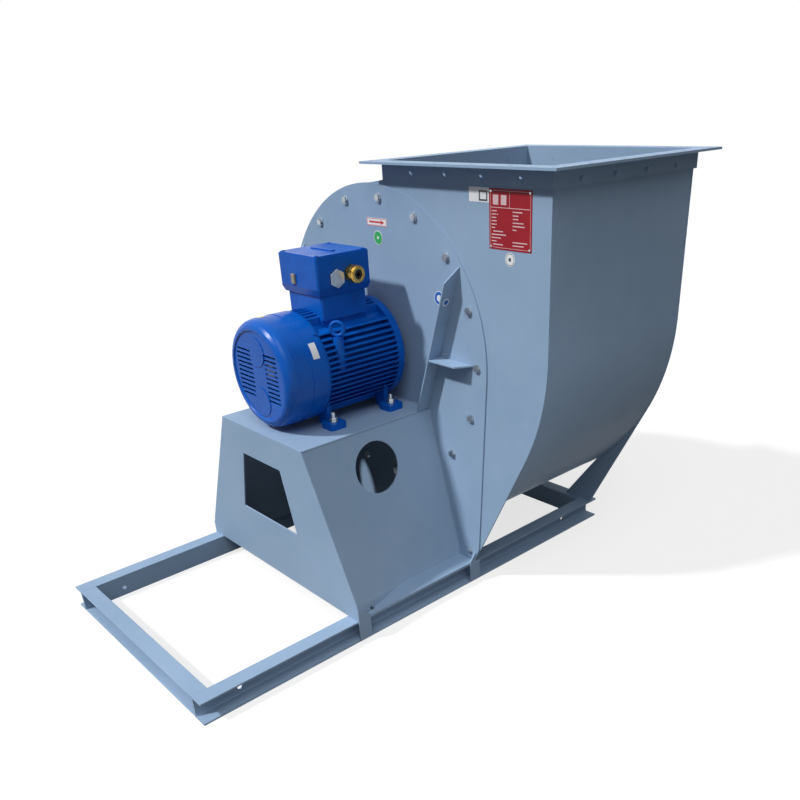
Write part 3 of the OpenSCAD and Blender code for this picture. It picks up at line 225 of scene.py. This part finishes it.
looks = {
    # polyester powder coat on sheet steel, sprayed and baked: satin, faint orange peel about 3 mm across, a
    # little workshop dust
    "powderCoatGreyBlue": {
        "deep": "#89A2BD", "pale": "#93ABC6", "dustColour": "#AFBDCC", "dust": 0.14,
        "broadMm": 420, "dustMm": 60, "grainMm": 3.2, "reliefMm": 0.05, "rough": (0.4, 0.54), "specular": 0.08},
    # the same coat inside the casing and on the impeller, duller from overspray; its two tones are drawn darker than
    # the outer coat's, as painted shade for the inside
    "powderCoatInsidePaintedShade": {
        "deep": "#5C6C80", "pale": "#687990", "dustColour": "#8A94A0", "dust": 0.25,
        "broadMm": 300, "dustMm": 45, "grainMm": 3.0, "reliefMm": 0.06, "rough": (0.5, 0.68), "specular": 0.3},
    # alkyd enamel sprayed on sand-cast iron: glossy, with the casting's 5 mm waviness left under it
    "enamelOnCastIron": {
        "deep": "#0450AC", "pale": "#065AB8", "dustColour": "#1C62BC", "dust": 0.06,
        "broadMm": 90, "dustMm": 22, "grainMm": 5.0, "reliefMm": 0.18, "rough": (0.26, 0.4), "specular": 0.14},
    # the same enamel on pressed sheet steel: smoother, so its highlights are tighter
    "enamelOnPressedSteel": {
        "deep": "#0450AC", "pale": "#065AB8", "dustColour": "#1C62BC", "dust": 0.05,
        "broadMm": 140, "dustMm": 30, "grainMm": 7.0, "reliefMm": 0.06, "rough": (0.22, 0.32), "specular": 0.16},
    # bright zinc plate on steel fasteners: pale metal with soft cloudy passivation
    "zincPlatedSteel": {
        "deep": "#9CA4AB", "pale": "#BCC3C9", "dustColour": "#7A8188", "dust": 0.3,
        "broadMm": 14, "dustMm": 5, "grainMm": 1.6, "reliefMm": 0.02, "rough": (0.28, 0.45), "metallic": 1.0},
    # turned bright steel, its fine rings drawn at 1.5 mm so that they show
    "turnedBrightSteel": {
        "deep": "#8E9093", "pale": "#A3A5A7", "dustColour": "#77797C", "dust": 0.25,
        "broadMm": 60, "dustMm": 9, "grainMm": 6.0, "reliefMm": 0.02, "rough": (0.22, 0.38), "metallic": 1.0,
        "stretch": (1.0, 4.0, 1.0)},
    # stacked electrical steel, 0.5 mm sheets drawn at 2 mm along the shaft
    "laminatedCoreSteel": {
        "deep": "#55575A", "pale": "#66686B", "dustColour": "#3F4144", "dust": 0.4,
        "broadMm": 40, "dustMm": 20, "grainMm": 20.0, "reliefMm": 0.05, "rough": (0.4, 0.55), "metallic": 1.0,
        "stretch": (1.0, 10.0, 1.0)},
    # enamelled copper wire under varnish, wound round the end
    "varnishedCopperWire": {
        "deep": "#8A4A22", "pale": "#A65C2C", "dustColour": "#5E3018", "dust": 0.4,
        "broadMm": 30, "dustMm": 8, "grainMm": 4.0, "reliefMm": 0.3, "rough": (0.25, 0.4)},
    # glass-filled nylon, moulded black
    "mouldedBlackNylon": {
        "deep": "#1A1B1D", "pale": "#222326", "dustColour": "#3A3B3D", "dust": 0.2,
        "broadMm": 60, "dustMm": 15, "grainMm": 1.2, "reliefMm": 0.03, "rough": (0.4, 0.55)},
    # nylon plug, moulded in a warm grey
    "mouldedGreyNylon": {
        "deep": "#857E72", "pale": "#938C80", "dustColour": "#A39D92", "dust": 0.2,
        "broadMm": 20, "dustMm": 6, "grainMm": 1.2, "reliefMm": 0.03, "rough": (0.4, 0.55)},
    # black rubber, moulded
    "mouldedRubber": {
        "deep": "#101113", "pale": "#17181A", "dustColour": "#2C2D2F", "dust": 0.2,
        "broadMm": 20, "dustMm": 6, "grainMm": 1.0, "reliefMm": 0.02, "rough": (0.5, 0.65), "specular": 0.3},
    # turned brass, lightly tarnished
    "turnedBrass": {
        "deep": "#C69A45", "pale": "#DDB663", "dustColour": "#8F6A2C", "dust": 0.3,
        "broadMm": 20, "dustMm": 6, "grainMm": 2.0, "reliefMm": 0.02, "rough": (0.2, 0.34), "metallic": 1.0},
    # anodised and screen-printed aluminium plate, red
    "printedRedAluminium": {
        "deep": "#951A27", "pale": "#A0202D", "dustColour": "#AC4A54", "dust": 0.08,
        "specular": 0.2, "broadMm": 70, "dustMm": 12, "grainMm": 1.4, "reliefMm": 0.01, "rough": (0.3, 0.42)},
    # self-adhesive vinyl film, white
    "vinylWhite": {
        "deep": "#DDE0E3", "pale": "#E6E8EA", "dustColour": "#C4C8CC", "dust": 0.2,
        "broadMm": 40, "dustMm": 9, "grainMm": 2.0, "reliefMm": 0.01, "rough": (0.3, 0.45)},
    # the same film in a yellowed cream
    "vinylCream": {
        "deep": "#D9CE9C", "pale": "#E4DAAE", "dustColour": "#B8AC78", "dust": 0.2,
        "broadMm": 40, "dustMm": 9, "grainMm": 2.0, "reliefMm": 0.01, "rough": (0.35, 0.5)},
    # screen inks: red, green, blue, grey and near-black, and the pale ink on the red plate
    "inkRed": {
        "deep": "#B8232E", "pale": "#C42B36", "dustColour": "#CC5A60", "dust": 0.1,
        "broadMm": 30, "dustMm": 8, "grainMm": 1.2, "reliefMm": 0.01, "rough": (0.4, 0.5)},
    "inkGreen": {
        "deep": "#1F9A50", "pale": "#25A657", "dustColour": "#5AB47C", "dust": 0.1,
        "broadMm": 30, "dustMm": 8, "grainMm": 1.2, "reliefMm": 0.01, "rough": (0.4, 0.5)},
    "inkBlue": {
        "deep": "#1D5FB0", "pale": "#2468BA", "dustColour": "#5C8CC8", "dust": 0.1,
        "broadMm": 30, "dustMm": 8, "grainMm": 1.2, "reliefMm": 0.01, "rough": (0.4, 0.5)},
    "inkBlack": {
        "deep": "#202226", "pale": "#2A2C30", "dustColour": "#4A4C50", "dust": 0.15,
        "broadMm": 30, "dustMm": 8, "grainMm": 1.2, "reliefMm": 0.01, "rough": (0.4, 0.5)},
    "inkPale": {
        "deep": "#D2B4B8", "pale": "#DEC4C8", "dustColour": "#C09498", "dust": 0.2,
        "broadMm": 30, "dustMm": 6, "grainMm": 1.2, "reliefMm": 0.01, "rough": (0.4, 0.5)},
}
materials = {name: surfaceMaterial(name, look) for name, look in looks.items()}
print("materials made:", len(materials))


# which finish each CAD node carries, and how wide its edges are rounded in mm (0 leaves the node as it is)
nodeFinish = {
    "powderCoatGreyBlue": {
        "base_rail_right": 1.2, "base_rail_left": 1.2, "base_cross_front": 1.2, "base_cross_rear": 1.2,
        "rail_straps": 1.0, "pedestal_front": 1.2, "pedestal_side_right": 0.8, "pedestal_side_left": 0.8,
        "pedestal_top": 1.2, "drive_plate": 0.8, "arm_right": 1.0, "arm_left": 1.0, "arm_shelves": 1.2,
        "casing_side_drive": 0.7, "casing_side_inlet": 0.7, "outlet_flange": 1.6, "outlet_flange_bolts": 0.5,
        "inlet_cone": 0.8, "inlet_flange": 1.0},
    # the casing's inside parts take the same coat drawn darker, as painted shade
    "powderCoatInsidePaintedShade": {"impeller_back_plate": 0, "impeller_shroud": 0, "impeller_blades": 0},
    "enamelOnCastIron": {
        "motor_frame": 1.1, "motor_shield_drive": 1.5, "motor_shield_rear": 1.2, "terminal_neck": 2.0,
        "terminal_box": 2.5, "terminal_lid": 3.0, "lifting_eye": 0, "cowl_screws": 0.4, "lid_screws": 0.4},
    "enamelOnPressedSteel": {"fan_cowl": 0},
    "zincPlatedSteel": {
        "base_bolts": 0.5, "drive_plate_bolts": 0.7, "inlet_bolts": 0.5, "hub_rivets": 0, "hub_bolt": 0,
        "bearing_inner_rings": 0, "bearing_outer_rings": 0, "shield_bolts": 0.5, "blanking_plug": 0.8,
        "motor_foot_bolts": 0.7, "plate_rivets": 0.4},
    "turnedBrightSteel": {"impeller_hub": 0, "motor_shaft": 0, "shaft_key": 0},
    "laminatedCoreSteel": {"rotor_core": 0, "stator_core": 0},
    "varnishedCopperWire": {"stator_windings": 0},
    "mouldedBlackNylon": {"cooling_fan": 0, "terminal_block": 0},
    "mouldedGreyNylon": {"side_plug": 0.8},
    "turnedBrass": {"gland_body": 0.6, "gland_nut": 0.8},
    "printedRedAluminium": {"rating_plate": 0},
    "vinylWhite": {"casing_labels": 0, "drive_plate_labels": 0},
    "vinylCream": {"motor_labels": 0},
}


# the record's slot of each rounded node, where it isn't grey_blue_paint
slotOf = {name: "motor_paint" for name in (
    "motor_frame", "motor_shield_drive", "motor_shield_rear", "terminal_neck", "terminal_box", "terminal_lid")}
slotOf.update({name: "gland_brass" for name in nodeFinish["turnedBrass"]})
slotOf.update({name: "zinc_steel" for name in nodeFinish["zincPlatedSteel"]})
rounding = {"merge": 1e-5, "flatTurn": 0.4, "edgeTurn": 32.0, "segments": 2, "weight": 80}


def roundedNode(name, material, width):
    # a merged copy of a node, its flat parts joined, each edge sharper than edgeTurn degrees rounded to width mm
    work = bmesh.new()
    work.from_mesh(nodes[name].data)
    bmesh.ops.remove_doubles(work, verts=work.verts, dist=rounding["merge"])
    flatTurn = np.radians(rounding["flatTurn"])
    bmesh.ops.dissolve_limit(work, angle_limit=flatTurn, verts=work.verts, edges=work.edges)
    mesh = bpy.data.meshes.new(name + "_rounded")
    work.to_mesh(mesh)
    work.free()
    piece = finishPiece(name + "_rounded", mesh, material, rounding["edgeTurn"], nodes[name]["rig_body"])
    edge = piece.modifiers.new("roundedEdge", "BEVEL")
    edge.width = width / 1000.0
    edge.segments = rounding["segments"]
    edge.limit_method = "ANGLE"
    edge.angle_limit = np.radians(rounding["edgeTurn"])
    edge.miter_outer = "MITER_ARC"
    edge.use_clamp_overlap = True
    flat = piece.modifiers.new("flatFaces", "WEIGHTED_NORMAL")
    flat.keep_sharp = False
    flat.weight = rounding["weight"]
    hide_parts(name)


for finish, members in nodeFinish.items():
    for name, width in members.items():
        node = nodes[name]
        node.data.materials.clear()
        node.data.materials.append(materials[finish])
        if width:
            roundedNode(name, materials[finish], width)
print("nodes finished:", sum(len(m) for m in nodeFinish.values()))


casing = {"arcX": 7.5, "rightR": 650.0, "rightZ": 749.0, "leftR": 501.0, "topX": 36.0, "topR": 529.5, "lowZ": 600.0,
          "neckX": 70.0, "rightX": 657.5, "topZ": 1187.0, "tongueX": -25.0, "tongueZ": 1139.0, "sheet": 4.0,
          "y0": 4.0, "y1": 581.0, "side": 4.0, "wallGap": 10.0, "neckGap": 5.0, "turnGap": 1.0, "turn": 25.0}
wrapSteps = {"wall": 24, "right": 120, "left": 90, "top": 84, "tongue": 12, "innerArc": 7, "innerRun": 6, "neck": 8}


def wrapPath(d):
    # the scroll: right wall down, arcs of three radii round, then the tongue and the neck's left wall up,
    # all drawn d inside the outer face; turnGap keeps two arcs from sharing a point
    c, n = casing, wrapSteps
    tongueTurn = np.degrees(np.arccos((c["tongueX"] - c["topX"]) / c["topR"]))
    wallZ = np.linspace(c["topZ"], c["rightZ"] + c["wallGap"], n["wall"])
    path = [np.stack([np.full(n["wall"], c["rightX"] - d), wallZ], -1),
            arcPoints((c["arcX"], c["rightZ"]), c["rightR"] - d, 0.0, -90.0, n["right"]),
            arcPoints((c["arcX"], c["lowZ"]), c["leftR"] - d, -90.0 - c["turnGap"], -180.0, n["left"]),
            arcPoints((c["topX"], c["lowZ"]), c["topR"] - d, 180.0 - c["turnGap"], tongueTurn, n["top"])]
    if d == 0:
        t = np.linspace(0.0, 1.0, n["tongue"])[1:, None]
        path.append(path[-1][-1] + t * (np.array([c["neckX"], c["tongueZ"]]) - path[-1][-1]))
    else:
        arc = arcPoints((c["topX"], c["lowZ"]), c["topR"] - d, tongueTurn, 90.0, n["innerArc"])[1:]
        corner = np.array([c["neckX"] + d, c["lowZ"] + c["topR"] - d])
        t = np.linspace(0.0, 1.0, n["innerRun"])[1:, None]
        path.append(np.concatenate([arc, arc[-1] + t * (corner - arc[-1])]))
    neckZ = np.linspace(path[-1][-1, 1] + c["neckGap"], c["topZ"], n["neck"])
    path.append(np.stack([np.full(n["neck"], c["neckX"] + d), neckZ], -1))
    return np.concatenate(path)


def atDepth(path, y):
    # a path in x and z, set at depth y
    return np.stack([path[:, 0], np.full(len(path), y), path[:, 1]], -1)


outer, inner = wrapPath(0.0), wrapPath(casing["sheet"])
low, high = casing["y0"] + casing["side"], casing["y1"] - casing["side"]
wrapSections = np.stack([atDepth(outer, low), atDepth(outer, high), atDepth(inner, high), atDepth(inner, low)], 1)
wrap = sweptPiece("casing_wrap_sheet", wrapSections, materials["powderCoatGreyBlue"], casing["turn"])
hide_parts("casing_wrap")
print("casing wrap made")


# radii of the beads and the pitch of their ripple; the seam's bead stays inside the CAD's box
weld = {"seam": 1.5, "fillet": 2.6, "arm": 2.08, "lip": 2.0, "fold": 1.6, "mitre": 1.0, "pitch": 5.0, "thinSides": 6}
alongY, alongZ = (0.0, 1.0, 0.0), (0.0, 0.0, 1.0)
seamPath = np.stack([np.maximum(outer[:, 0], outer[:, 0].min() + weld["seam"]), outer[:, 1]], -1)[1:-1]
beads = [beadSections(atDepth(seamPath, y), weld["seam"], weld["pitch"], alongY, weld["thinSides"])
         for y in (low, high)]  # along both edges of the wrap, where it meets the side plates
seamWeld = joinedBeads("casing_seam_welds", beads, materials["powderCoatGreyBlue"])

# the pedestal's beads: from, to, size and upward direction of those that both sides have, x mirrored, then the top's
sideBeads = [((325.0, 0.0, 69.5), (206.0, 0.0, 519.0), "fillet", alongY),  # side panel on the drive plate
             ((209.0, 0.0, 540.0), (355.0, 0.0, 940.0), "arm", alongY),  # arm on the drive plate
             ((206.0, -455.0, 521.5), (206.0, -3.0, 521.5), "fold", alongZ),  # side edge of the pedestal's top
             ((346.0, -455.5, 68.0), (389.0, -455.5, 68.0), "lip", alongZ)]  # foot of the front plate
topBead = [[-205.0, 0.0, 524.0], [205.0, 0.0, 524.0]]
beads = [beadSections([np.multiply(end, (s, 1.0, 1.0)) for end in (start, finish)], weld[size], weld["pitch"], up)
         for s in (-1.0, 1.0) for start, finish, size, up in sideBeads]
beads.append(beadSections(topBead, weld["fillet"], weld["pitch"], alongZ))
frameWeld = joinedBeads("pedestal_welds", beads, materials["powderCoatGreyBlue"])

flange = {"x0": 21.0, "x1": 706.5, "y0": -45.0, "y1": 630.0, "in0": 70.0, "in1": 657.5, "iny0": 4.0, "iny1": 581.0,
          "z": 1186.9, "sunk": 0.9, "endShares": (0.06, 0.94)}
beads = []
for fromX, toX in ((flange["x0"], flange["in0"]), (flange["x1"], flange["in1"])):  # mitred corners of the angle frame
    for fromY, toY in ((flange["y0"], flange["iny0"]), (flange["y1"], flange["iny1"])):
        z = flange["z"] - flange["sunk"]
        ends = np.array([[fromX, fromY, z], [toX, toY, z]])
        ends = ends[0] + np.array(flange["endShares"])[:, None] * (ends[1] - ends[0])
        beads.append(beadSections(ends, weld["mitre"], weld["pitch"], alongZ, weld["thinSides"]))
flangeWeld = joinedBeads("flange_corner_welds", beads, materials["powderCoatGreyBlue"])
print("welds made")


def inkPiece(name, outlines, y, material, thickness=0.12, sunk=0.05):
    # each outline in x and z is drawn out from y towards the motor side by thickness, and sunk behind it
    points, faces, offset = [], [], 0
    for outline in outlines:
        outline = np.asarray(outline, float)
        n = len(outline)
        area = np.sum(outline[:, 0] * np.roll(outline[:, 1], -1) - np.roll(outline[:, 0], -1) * outline[:, 1])
        outline = outline if area > 0 else outline[::-1]
        for depth in (y - thickness, y + sunk):
            points.append(np.stack([outline[:, 0], np.full(n, depth), outline[:, 1]], -1))
        j = np.arange(n)
        faces += [(offset + j).tolist(), (offset + n + j[::-1]).tolist()]
        faces += np.stack([offset + (j + 1) % n, offset + j, offset + n + j, offset + n + (j + 1) % n], -1).tolist()
        offset += 2 * n
    mesh = bpy.data.meshes.new(name)
    mesh.from_pydata(metres(np.concatenate(points)).tolist(), [], faces)
    return finishPiece(name, mesh, material)


def bar(x0, z0, x1, z1):
    # a rectangle between two corners
    return [[x0, z0], [x1, z0], [x1, z1], [x0, z1]]


def frameBars(x0, z0, x1, z1, w):
    # a rectangle's outline of width w as four bars
    return [bar(x0, z0, x1, z0 + w), bar(x0, z1 - w, x1, z1),
            bar(x0, z0 + w, x0 + w, z1 - w), bar(x1 - w, z0 + w, x1, z1 - w)]


def ringParts(cx, cz, outerR, innerR, parts=24):
    # a flat ring cut into as many quads as parts says
    a = np.linspace(0.0, 2.0 * np.pi, parts + 1)
    c, s = np.cos(a), np.sin(a)
    return [[[cx + outerR * c[i], cz + outerR * s[i]], [cx + outerR * c[i + 1], cz + outerR * s[i + 1]],
             [cx + innerR * c[i + 1], cz + innerR * s[i + 1]], [cx + innerR * c[i], cz + innerR * s[i]]]
            for i in range(parts)]


fronts = {"casing": 3.2, "drivePlate": -0.8}  # y of the films' faces that the marks are printed on

# the rating plate's marks in shares of its side: a border, two rules, two empty pictures, then short plain rows
plate = {"x": 460.0, "z": 996.0, "side": 138.0, "near": 0.03, "far": 0.97, "line": 0.8, "rowHeight": 0.017,
         "rules": ((0.03, 0.69, 0.95, 0.7), (0.48, 0.7, 0.487, 0.95)),
         "pictures": (0.09, 0.28), "pictureWidth": 0.13, "pictureLow": 0.74, "pictureHigh": 0.9}
rowShares = [  # left, width, height above the plate's foot
    (0.06, 0.12, 0.63), (0.06, 0.1, 0.575), (0.18, 0.03, 0.575), (0.06, 0.11, 0.52), (0.06, 0.12, 0.465),
    (0.06, 0.12, 0.408), (0.06, 0.08, 0.352), (0.1, 0.23, 0.295), (0.06, 0.34, 0.24), (0.06, 0.22, 0.185),
    (0.06, 0.11, 0.13), (0.09, 0.24, 0.075), (0.56, 0.22, 0.63), (0.56, 0.13, 0.57), (0.56, 0.13, 0.515),
    (0.56, 0.25, 0.455), (0.56, 0.28, 0.4), (0.56, 0.09, 0.34), (0.56, 0.34, 0.135), (0.56, 0.26, 0.08)]


def onPlate(x0, z0, x1, z1):
    # two corners in shares of the plate's side, as x and z: corner + share * side
    return (plate["x"] + x0 * plate["side"], plate["z"] + z0 * plate["side"],
            plate["x"] + x1 * plate["side"], plate["z"] + z1 * plate["side"])


marks = frameBars(*onPlate(plate["near"], plate["near"], plate["far"], plate["far"]), plate["line"])
marks += [bar(*onPlate(*shares)) for shares in plate["rules"]]
marks += [bar(*onPlate(x, plate["pictureLow"], x + plate["pictureWidth"], plate["pictureHigh"]))
          for x in plate["pictures"]]
marks += [bar(*onPlate(x, z, x + width, z + plate["rowHeight"])) for x, width, z in rowShares]

square = {"x0": 425.0, "z0": 1104.0, "x1": 454.0, "z1": 1128.0, "line": 4.0}  # on the white label
squareMark = frameBars(square["x0"], square["z0"], square["x1"], square["z1"], square["line"])

rings = {"x": 528.5, "z": 975.0, "radii": ((14.0, 12.8), (4.5, 0.5))}  # a ring and a dot on the round label
ringMark = [part for outerR, innerR in rings["radii"] for part in ringParts(rings["x"], rings["z"], outerR, innerR)]

arrow = {"x": -20.0, "z": 1018.0, "width": 88.0, "height": 21.0, "end": 10.0, "head": 26.0, "half": 2.4, "margin": 4.0,
         "inset": 1.0, "line": 1.6}
arrowRight, arrowTop = arrow["x"] + arrow["width"], arrow["z"] + arrow["height"]
tail, neck, tip = arrow["x"] + arrow["end"], arrowRight - arrow["head"], arrowRight - arrow["end"]
middle, barb = arrow["z"] + arrow["height"] / 2, arrow["margin"]
arrowMark = frameBars(arrow["x"] + arrow["inset"], arrow["z"] + arrow["inset"], arrowRight - arrow["inset"],
                      arrowTop - arrow["inset"], arrow["line"])
arrowMark.append([[tail, middle - arrow["half"]], [neck, middle - arrow["half"]], [neck, arrow["z"] + barb],
                  [tip, middle], [neck, arrowTop - barb], [neck, middle + arrow["half"]],
                  [tail, middle + arrow["half"]]])

earth = {"cx": 25.0, "cz": 987.0, "outerR": 17.5, "innerR": 4.0}
lifting = {"cx": 272.0, "cz": 850.0, "outerR": 17.5, "innerR": 9.0}
for name, outlines, front, finish, slot in (
        ("rating_plate_rules", marks, "casing", "inkPale", "label_white"),
        ("white_label_square", squareMark, "casing", "inkBlack", "black_plastic"),
        ("round_label_ring", ringMark, "casing", "inkBlack", "black_plastic"),
        ("turning_arrow", arrowMark, "drivePlate", "inkRed", "red_plate"),
        ("earth_disc", ringParts(**earth), "drivePlate", "inkGreen", "label_white"),
        ("lifting_disc", ringParts(**lifting), "drivePlate", "inkBlue", "label_white")):
    inkPiece(name, outlines, fronts[front], materials[finish])

# the right arm's round label, two discs in the arm's plane: centre + radius * (cos a * rise + sin a * y)
onArm = {"centre": (323.7, -24.0, 850.0), "rise": (0.3318, 0.0, 0.9434), "out": (0.9434, 0.0, -0.3318),
         "film": 0.3, "ink": 0.1, "radius": 11.0, "discRadius": 7.5, "sunk": 0.1}
discSteps = 36
turn = np.linspace(0.0, 2.0 * np.pi, discSteps, endpoint=False)
for name, radius, depth, finish in (
        ("arm_label", onArm["radius"], onArm["film"], "vinylWhite"),
        ("arm_label_disc", onArm["discRadius"], onArm["film"] + onArm["ink"], "inkBlue")):
    spokes = np.cos(turn)[:, None] * onArm["rise"] + np.sin(turn)[:, None] * np.array(alongY)
    disc = radius * spokes + onArm["centre"]
    sections = np.stack([disc + np.multiply(onArm["out"], d) for d in (-onArm["sunk"], depth)])
    sweptPiece(name, sections, materials[finish])

# the gland's rubber seal, a ring turned about x: (x, y + r cos a, z + r sin a) for each (x, r) of a closed profile
seal = {"y": -155.0, "z": 921.0, "face": 125.0, "sunk": 1.5, "deep": 9.0, "outer": 12.8, "bore": 6.0}
x0, x1 = seal["face"] - seal["deep"], seal["face"] - seal["sunk"]
profile = np.array([[x0, seal["outer"]], [x1, seal["outer"]], [x1, seal["bore"]], [x0, seal["bore"]]])
ring = np.stack([np.repeat(profile[:, :1], len(turn), 1), seal["y"] + profile[:, 1:] * np.cos(turn),
                 seal["z"] + profile[:, 1:] * np.sin(turn)], -1)
i, j = np.meshgrid(np.arange(len(profile)), np.arange(len(turn)), indexing="ij")
k, m = (i + 1) % len(profile), (j + 1) % len(turn)
quads = np.stack([i * len(turn) + j, k * len(turn) + j, k * len(turn) + m, i * len(turn) + m], -1).reshape(-1, 4)
sealMesh = outwardMesh("gland_seal", ring.reshape(-1, 3), quads.tolist())
finishPiece("gland_seal", sealMesh, materials["mouldedRubber"])

# the motor's two films: the one that lies before partY, on the cowl's edge, has yellowed
partY = -360.0
films = nodes["motor_labels"].data.copy()
films.materials.clear()
centres = np.empty(3 * len(films.polygons))
films.polygons.foreach_get("center", centres)
onCowl = centres[1::3] < metres((0.0, partY, 0.0))[1]
films.polygons.foreach_set("material_index", onCowl.astype(np.int32))
film = finishPiece("motor_label_films", films, materials["vinylWhite"])
films.materials.append(materials["vinylCream"])
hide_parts("motor_labels")
print("printed marks made")


# lengths here are in metres, except softBoxAt in mm
stageLook = {"floorHalf": 9.0, "floorWhite": 0.9, "floorBounce": 0.06, "whiteShare": 0.7, "glow": 1.06, "sky": 0.16,
             "softBox": 1.2, "softBoxAt": (1100.0, -560.0, 480.0), "softBoxSize": (1.2, 0.8)}
suns = {"keySun": {"energy": 2.95, "angle": 4.0, "travel": (0.28, 0.61, -0.74)},
        "fillSun": {"energy": 1.15, "angle": 40.0, "travel": (-0.4, 0.33, -0.855)}}

# a flat floor at z = 0, on the stage, so that it isn't one of the object's pieces
floorMesh = bpy.data.meshes.new("floor")
h = stageLook["floorHalf"]
floorMesh.from_pydata([(-h, -h, 0), (h, -h, 0), (h, h, 0), (-h, h, 0)], [], [(0, 1, 2, 3)])
floor = bpy.data.objects.new("floor", floorMesh)
bpy.context.scene.collection.objects.link(floor)


def seenDirectly(tree):
    # 1 for camera, glossy and transmission rays, so that metal shows the same white as the picture does
    path = addNode(tree, "ShaderNodeLightPath")
    first = addNode(tree, "ShaderNodeMath", {"operation": "MAXIMUM"},
                    {0: (path, "Is Camera Ray"), 1: (path, "Is Glossy Ray")})
    return addNode(tree, "ShaderNodeMath", {"operation": "MAXIMUM"}, {0: (first, 0), 1: (path, "Is Transmission Ray")})


# the floor: white with soft shadows where it is seen directly, and dark grey to the light that bounces off it
floorMaterial = bpy.data.materials.new("paleStudioFloor")
floorMaterial.use_nodes = True
tree = floorMaterial.node_tree
tree.nodes.clear()
seen = seenDirectly(tree)
white = stageLook["floorWhite"]
bounce = stageLook["floorBounce"]
cast = addNode(tree, "ShaderNodeBsdfDiffuse", {"Color": (white, white, white, 1.0)})
glow = addNode(tree, "ShaderNodeEmission", {"Color": (1.0, 1.0, 1.0, 1.0), "Strength": stageLook["glow"]})
pale = addNode(tree, "ShaderNodeMixShader", {0: stageLook["whiteShare"]}, {1: (cast, 0), 2: (glow, 0)})
grey = addNode(tree, "ShaderNodeBsdfDiffuse", {"Color": (bounce, bounce, bounce, 1.0)})
both = addNode(tree, "ShaderNodeMixShader", None, {0: (seen, 0), 1: (grey, 0), 2: (pale, 0)})
addNode(tree, "ShaderNodeOutputMaterial", None, {"Surface": (both, 0)})
floorMesh.materials.append(floorMaterial)

# the sky: white where it is seen directly, and as dim as its value to all other light
world = bpy.data.worlds.new("studio")
world.use_nodes = True
bpy.context.scene.world = world
tree = world.node_tree
tree.nodes.clear()
seen = seenDirectly(tree)
level = addNode(tree, "ShaderNodeMapRange", {"To Min": stageLook["sky"], "To Max": 1.0}, {"Value": (seen, 0)})
back = addNode(tree, "ShaderNodeBackground", {"Color": (1.0, 1.0, 1.0, 1.0)}, {"Strength": (level, "Result")})
addNode(tree, "ShaderNodeOutputWorld", None, {"Surface": (back, 0)})

# each sun's z axis points back along the way that its light travels
for name, look in suns.items():
    sunData = bpy.data.lights.new(name, "SUN")
    sunData.energy = look["energy"]
    sunData.angle = np.radians(look["angle"])
    sun = bpy.data.objects.new(name, sunData)
    travel = np.array(look["travel"])
    back = -travel / np.linalg.norm(travel)
    across = np.cross((0.0, 0.0, 1.0), back)
    across /= np.linalg.norm(across)
    sun.matrix_world = placed(across, np.cross(back, across), back, np.zeros(3))
    bpy.context.scene.collection.objects.link(sun)

# a soft box low on the right, that lifts the pedestal's shaded side
boxData = bpy.data.lights.new("softBox", "AREA")
boxData.shape = "RECTANGLE"
boxData.size, boxData.size_y = stageLook["softBoxSize"]
boxData.energy = stageLook["softBox"]
softBox = bpy.data.objects.new("softBox", boxData)
softBox.matrix_world = placed((0.0, 1.0, 0.0), (0.0, 0.0, 1.0), (1.0, 0.0, 0.0), metres(stageLook["softBoxAt"]))
softBox.visible_camera = False
bpy.context.scene.collection.objects.link(softBox)

# the camera fitted to the photo: degrees for the angles, metres for the place, mm for the lens and sensor
view = {"azimuth": 48.389, "elevation": 28.907, "roll": -2.588, "place": (1.8167, -1.3593, 1.3293), "lens": 36.211,
        "shiftX": -0.0458, "shiftY": 0.1778, "sensor": 36.0, "clipEnd": 100.0}
a, e, r = (np.radians(view[k]) for k in ("azimuth", "elevation", "roll"))
back = np.array([np.sin(a) * np.cos(e), -np.cos(a) * np.cos(e), np.sin(e)])
right = np.array([np.cos(a), np.sin(a), 0.0])
up = np.cross(back, right)
cameraData = bpy.data.cameras.new("photoCamera")
cameraData.lens = view["lens"]
cameraData.sensor_width = view["sensor"]
cameraData.shift_x = view["shiftX"]
cameraData.shift_y = view["shiftY"]
cameraData.clip_end = view["clipEnd"]
camera = bpy.data.objects.new("photoCamera", cameraData)
camera.matrix_world = placed(np.cos(r) * right + np.sin(r) * up, -np.sin(r) * right + np.cos(r) * up, back,
                             view["place"])
bpy.context.scene.collection.objects.link(camera)
bpy.context.scene.camera = camera
bpy.context.scene.view_settings.view_transform = "Standard"
print("floor, light and camera set")
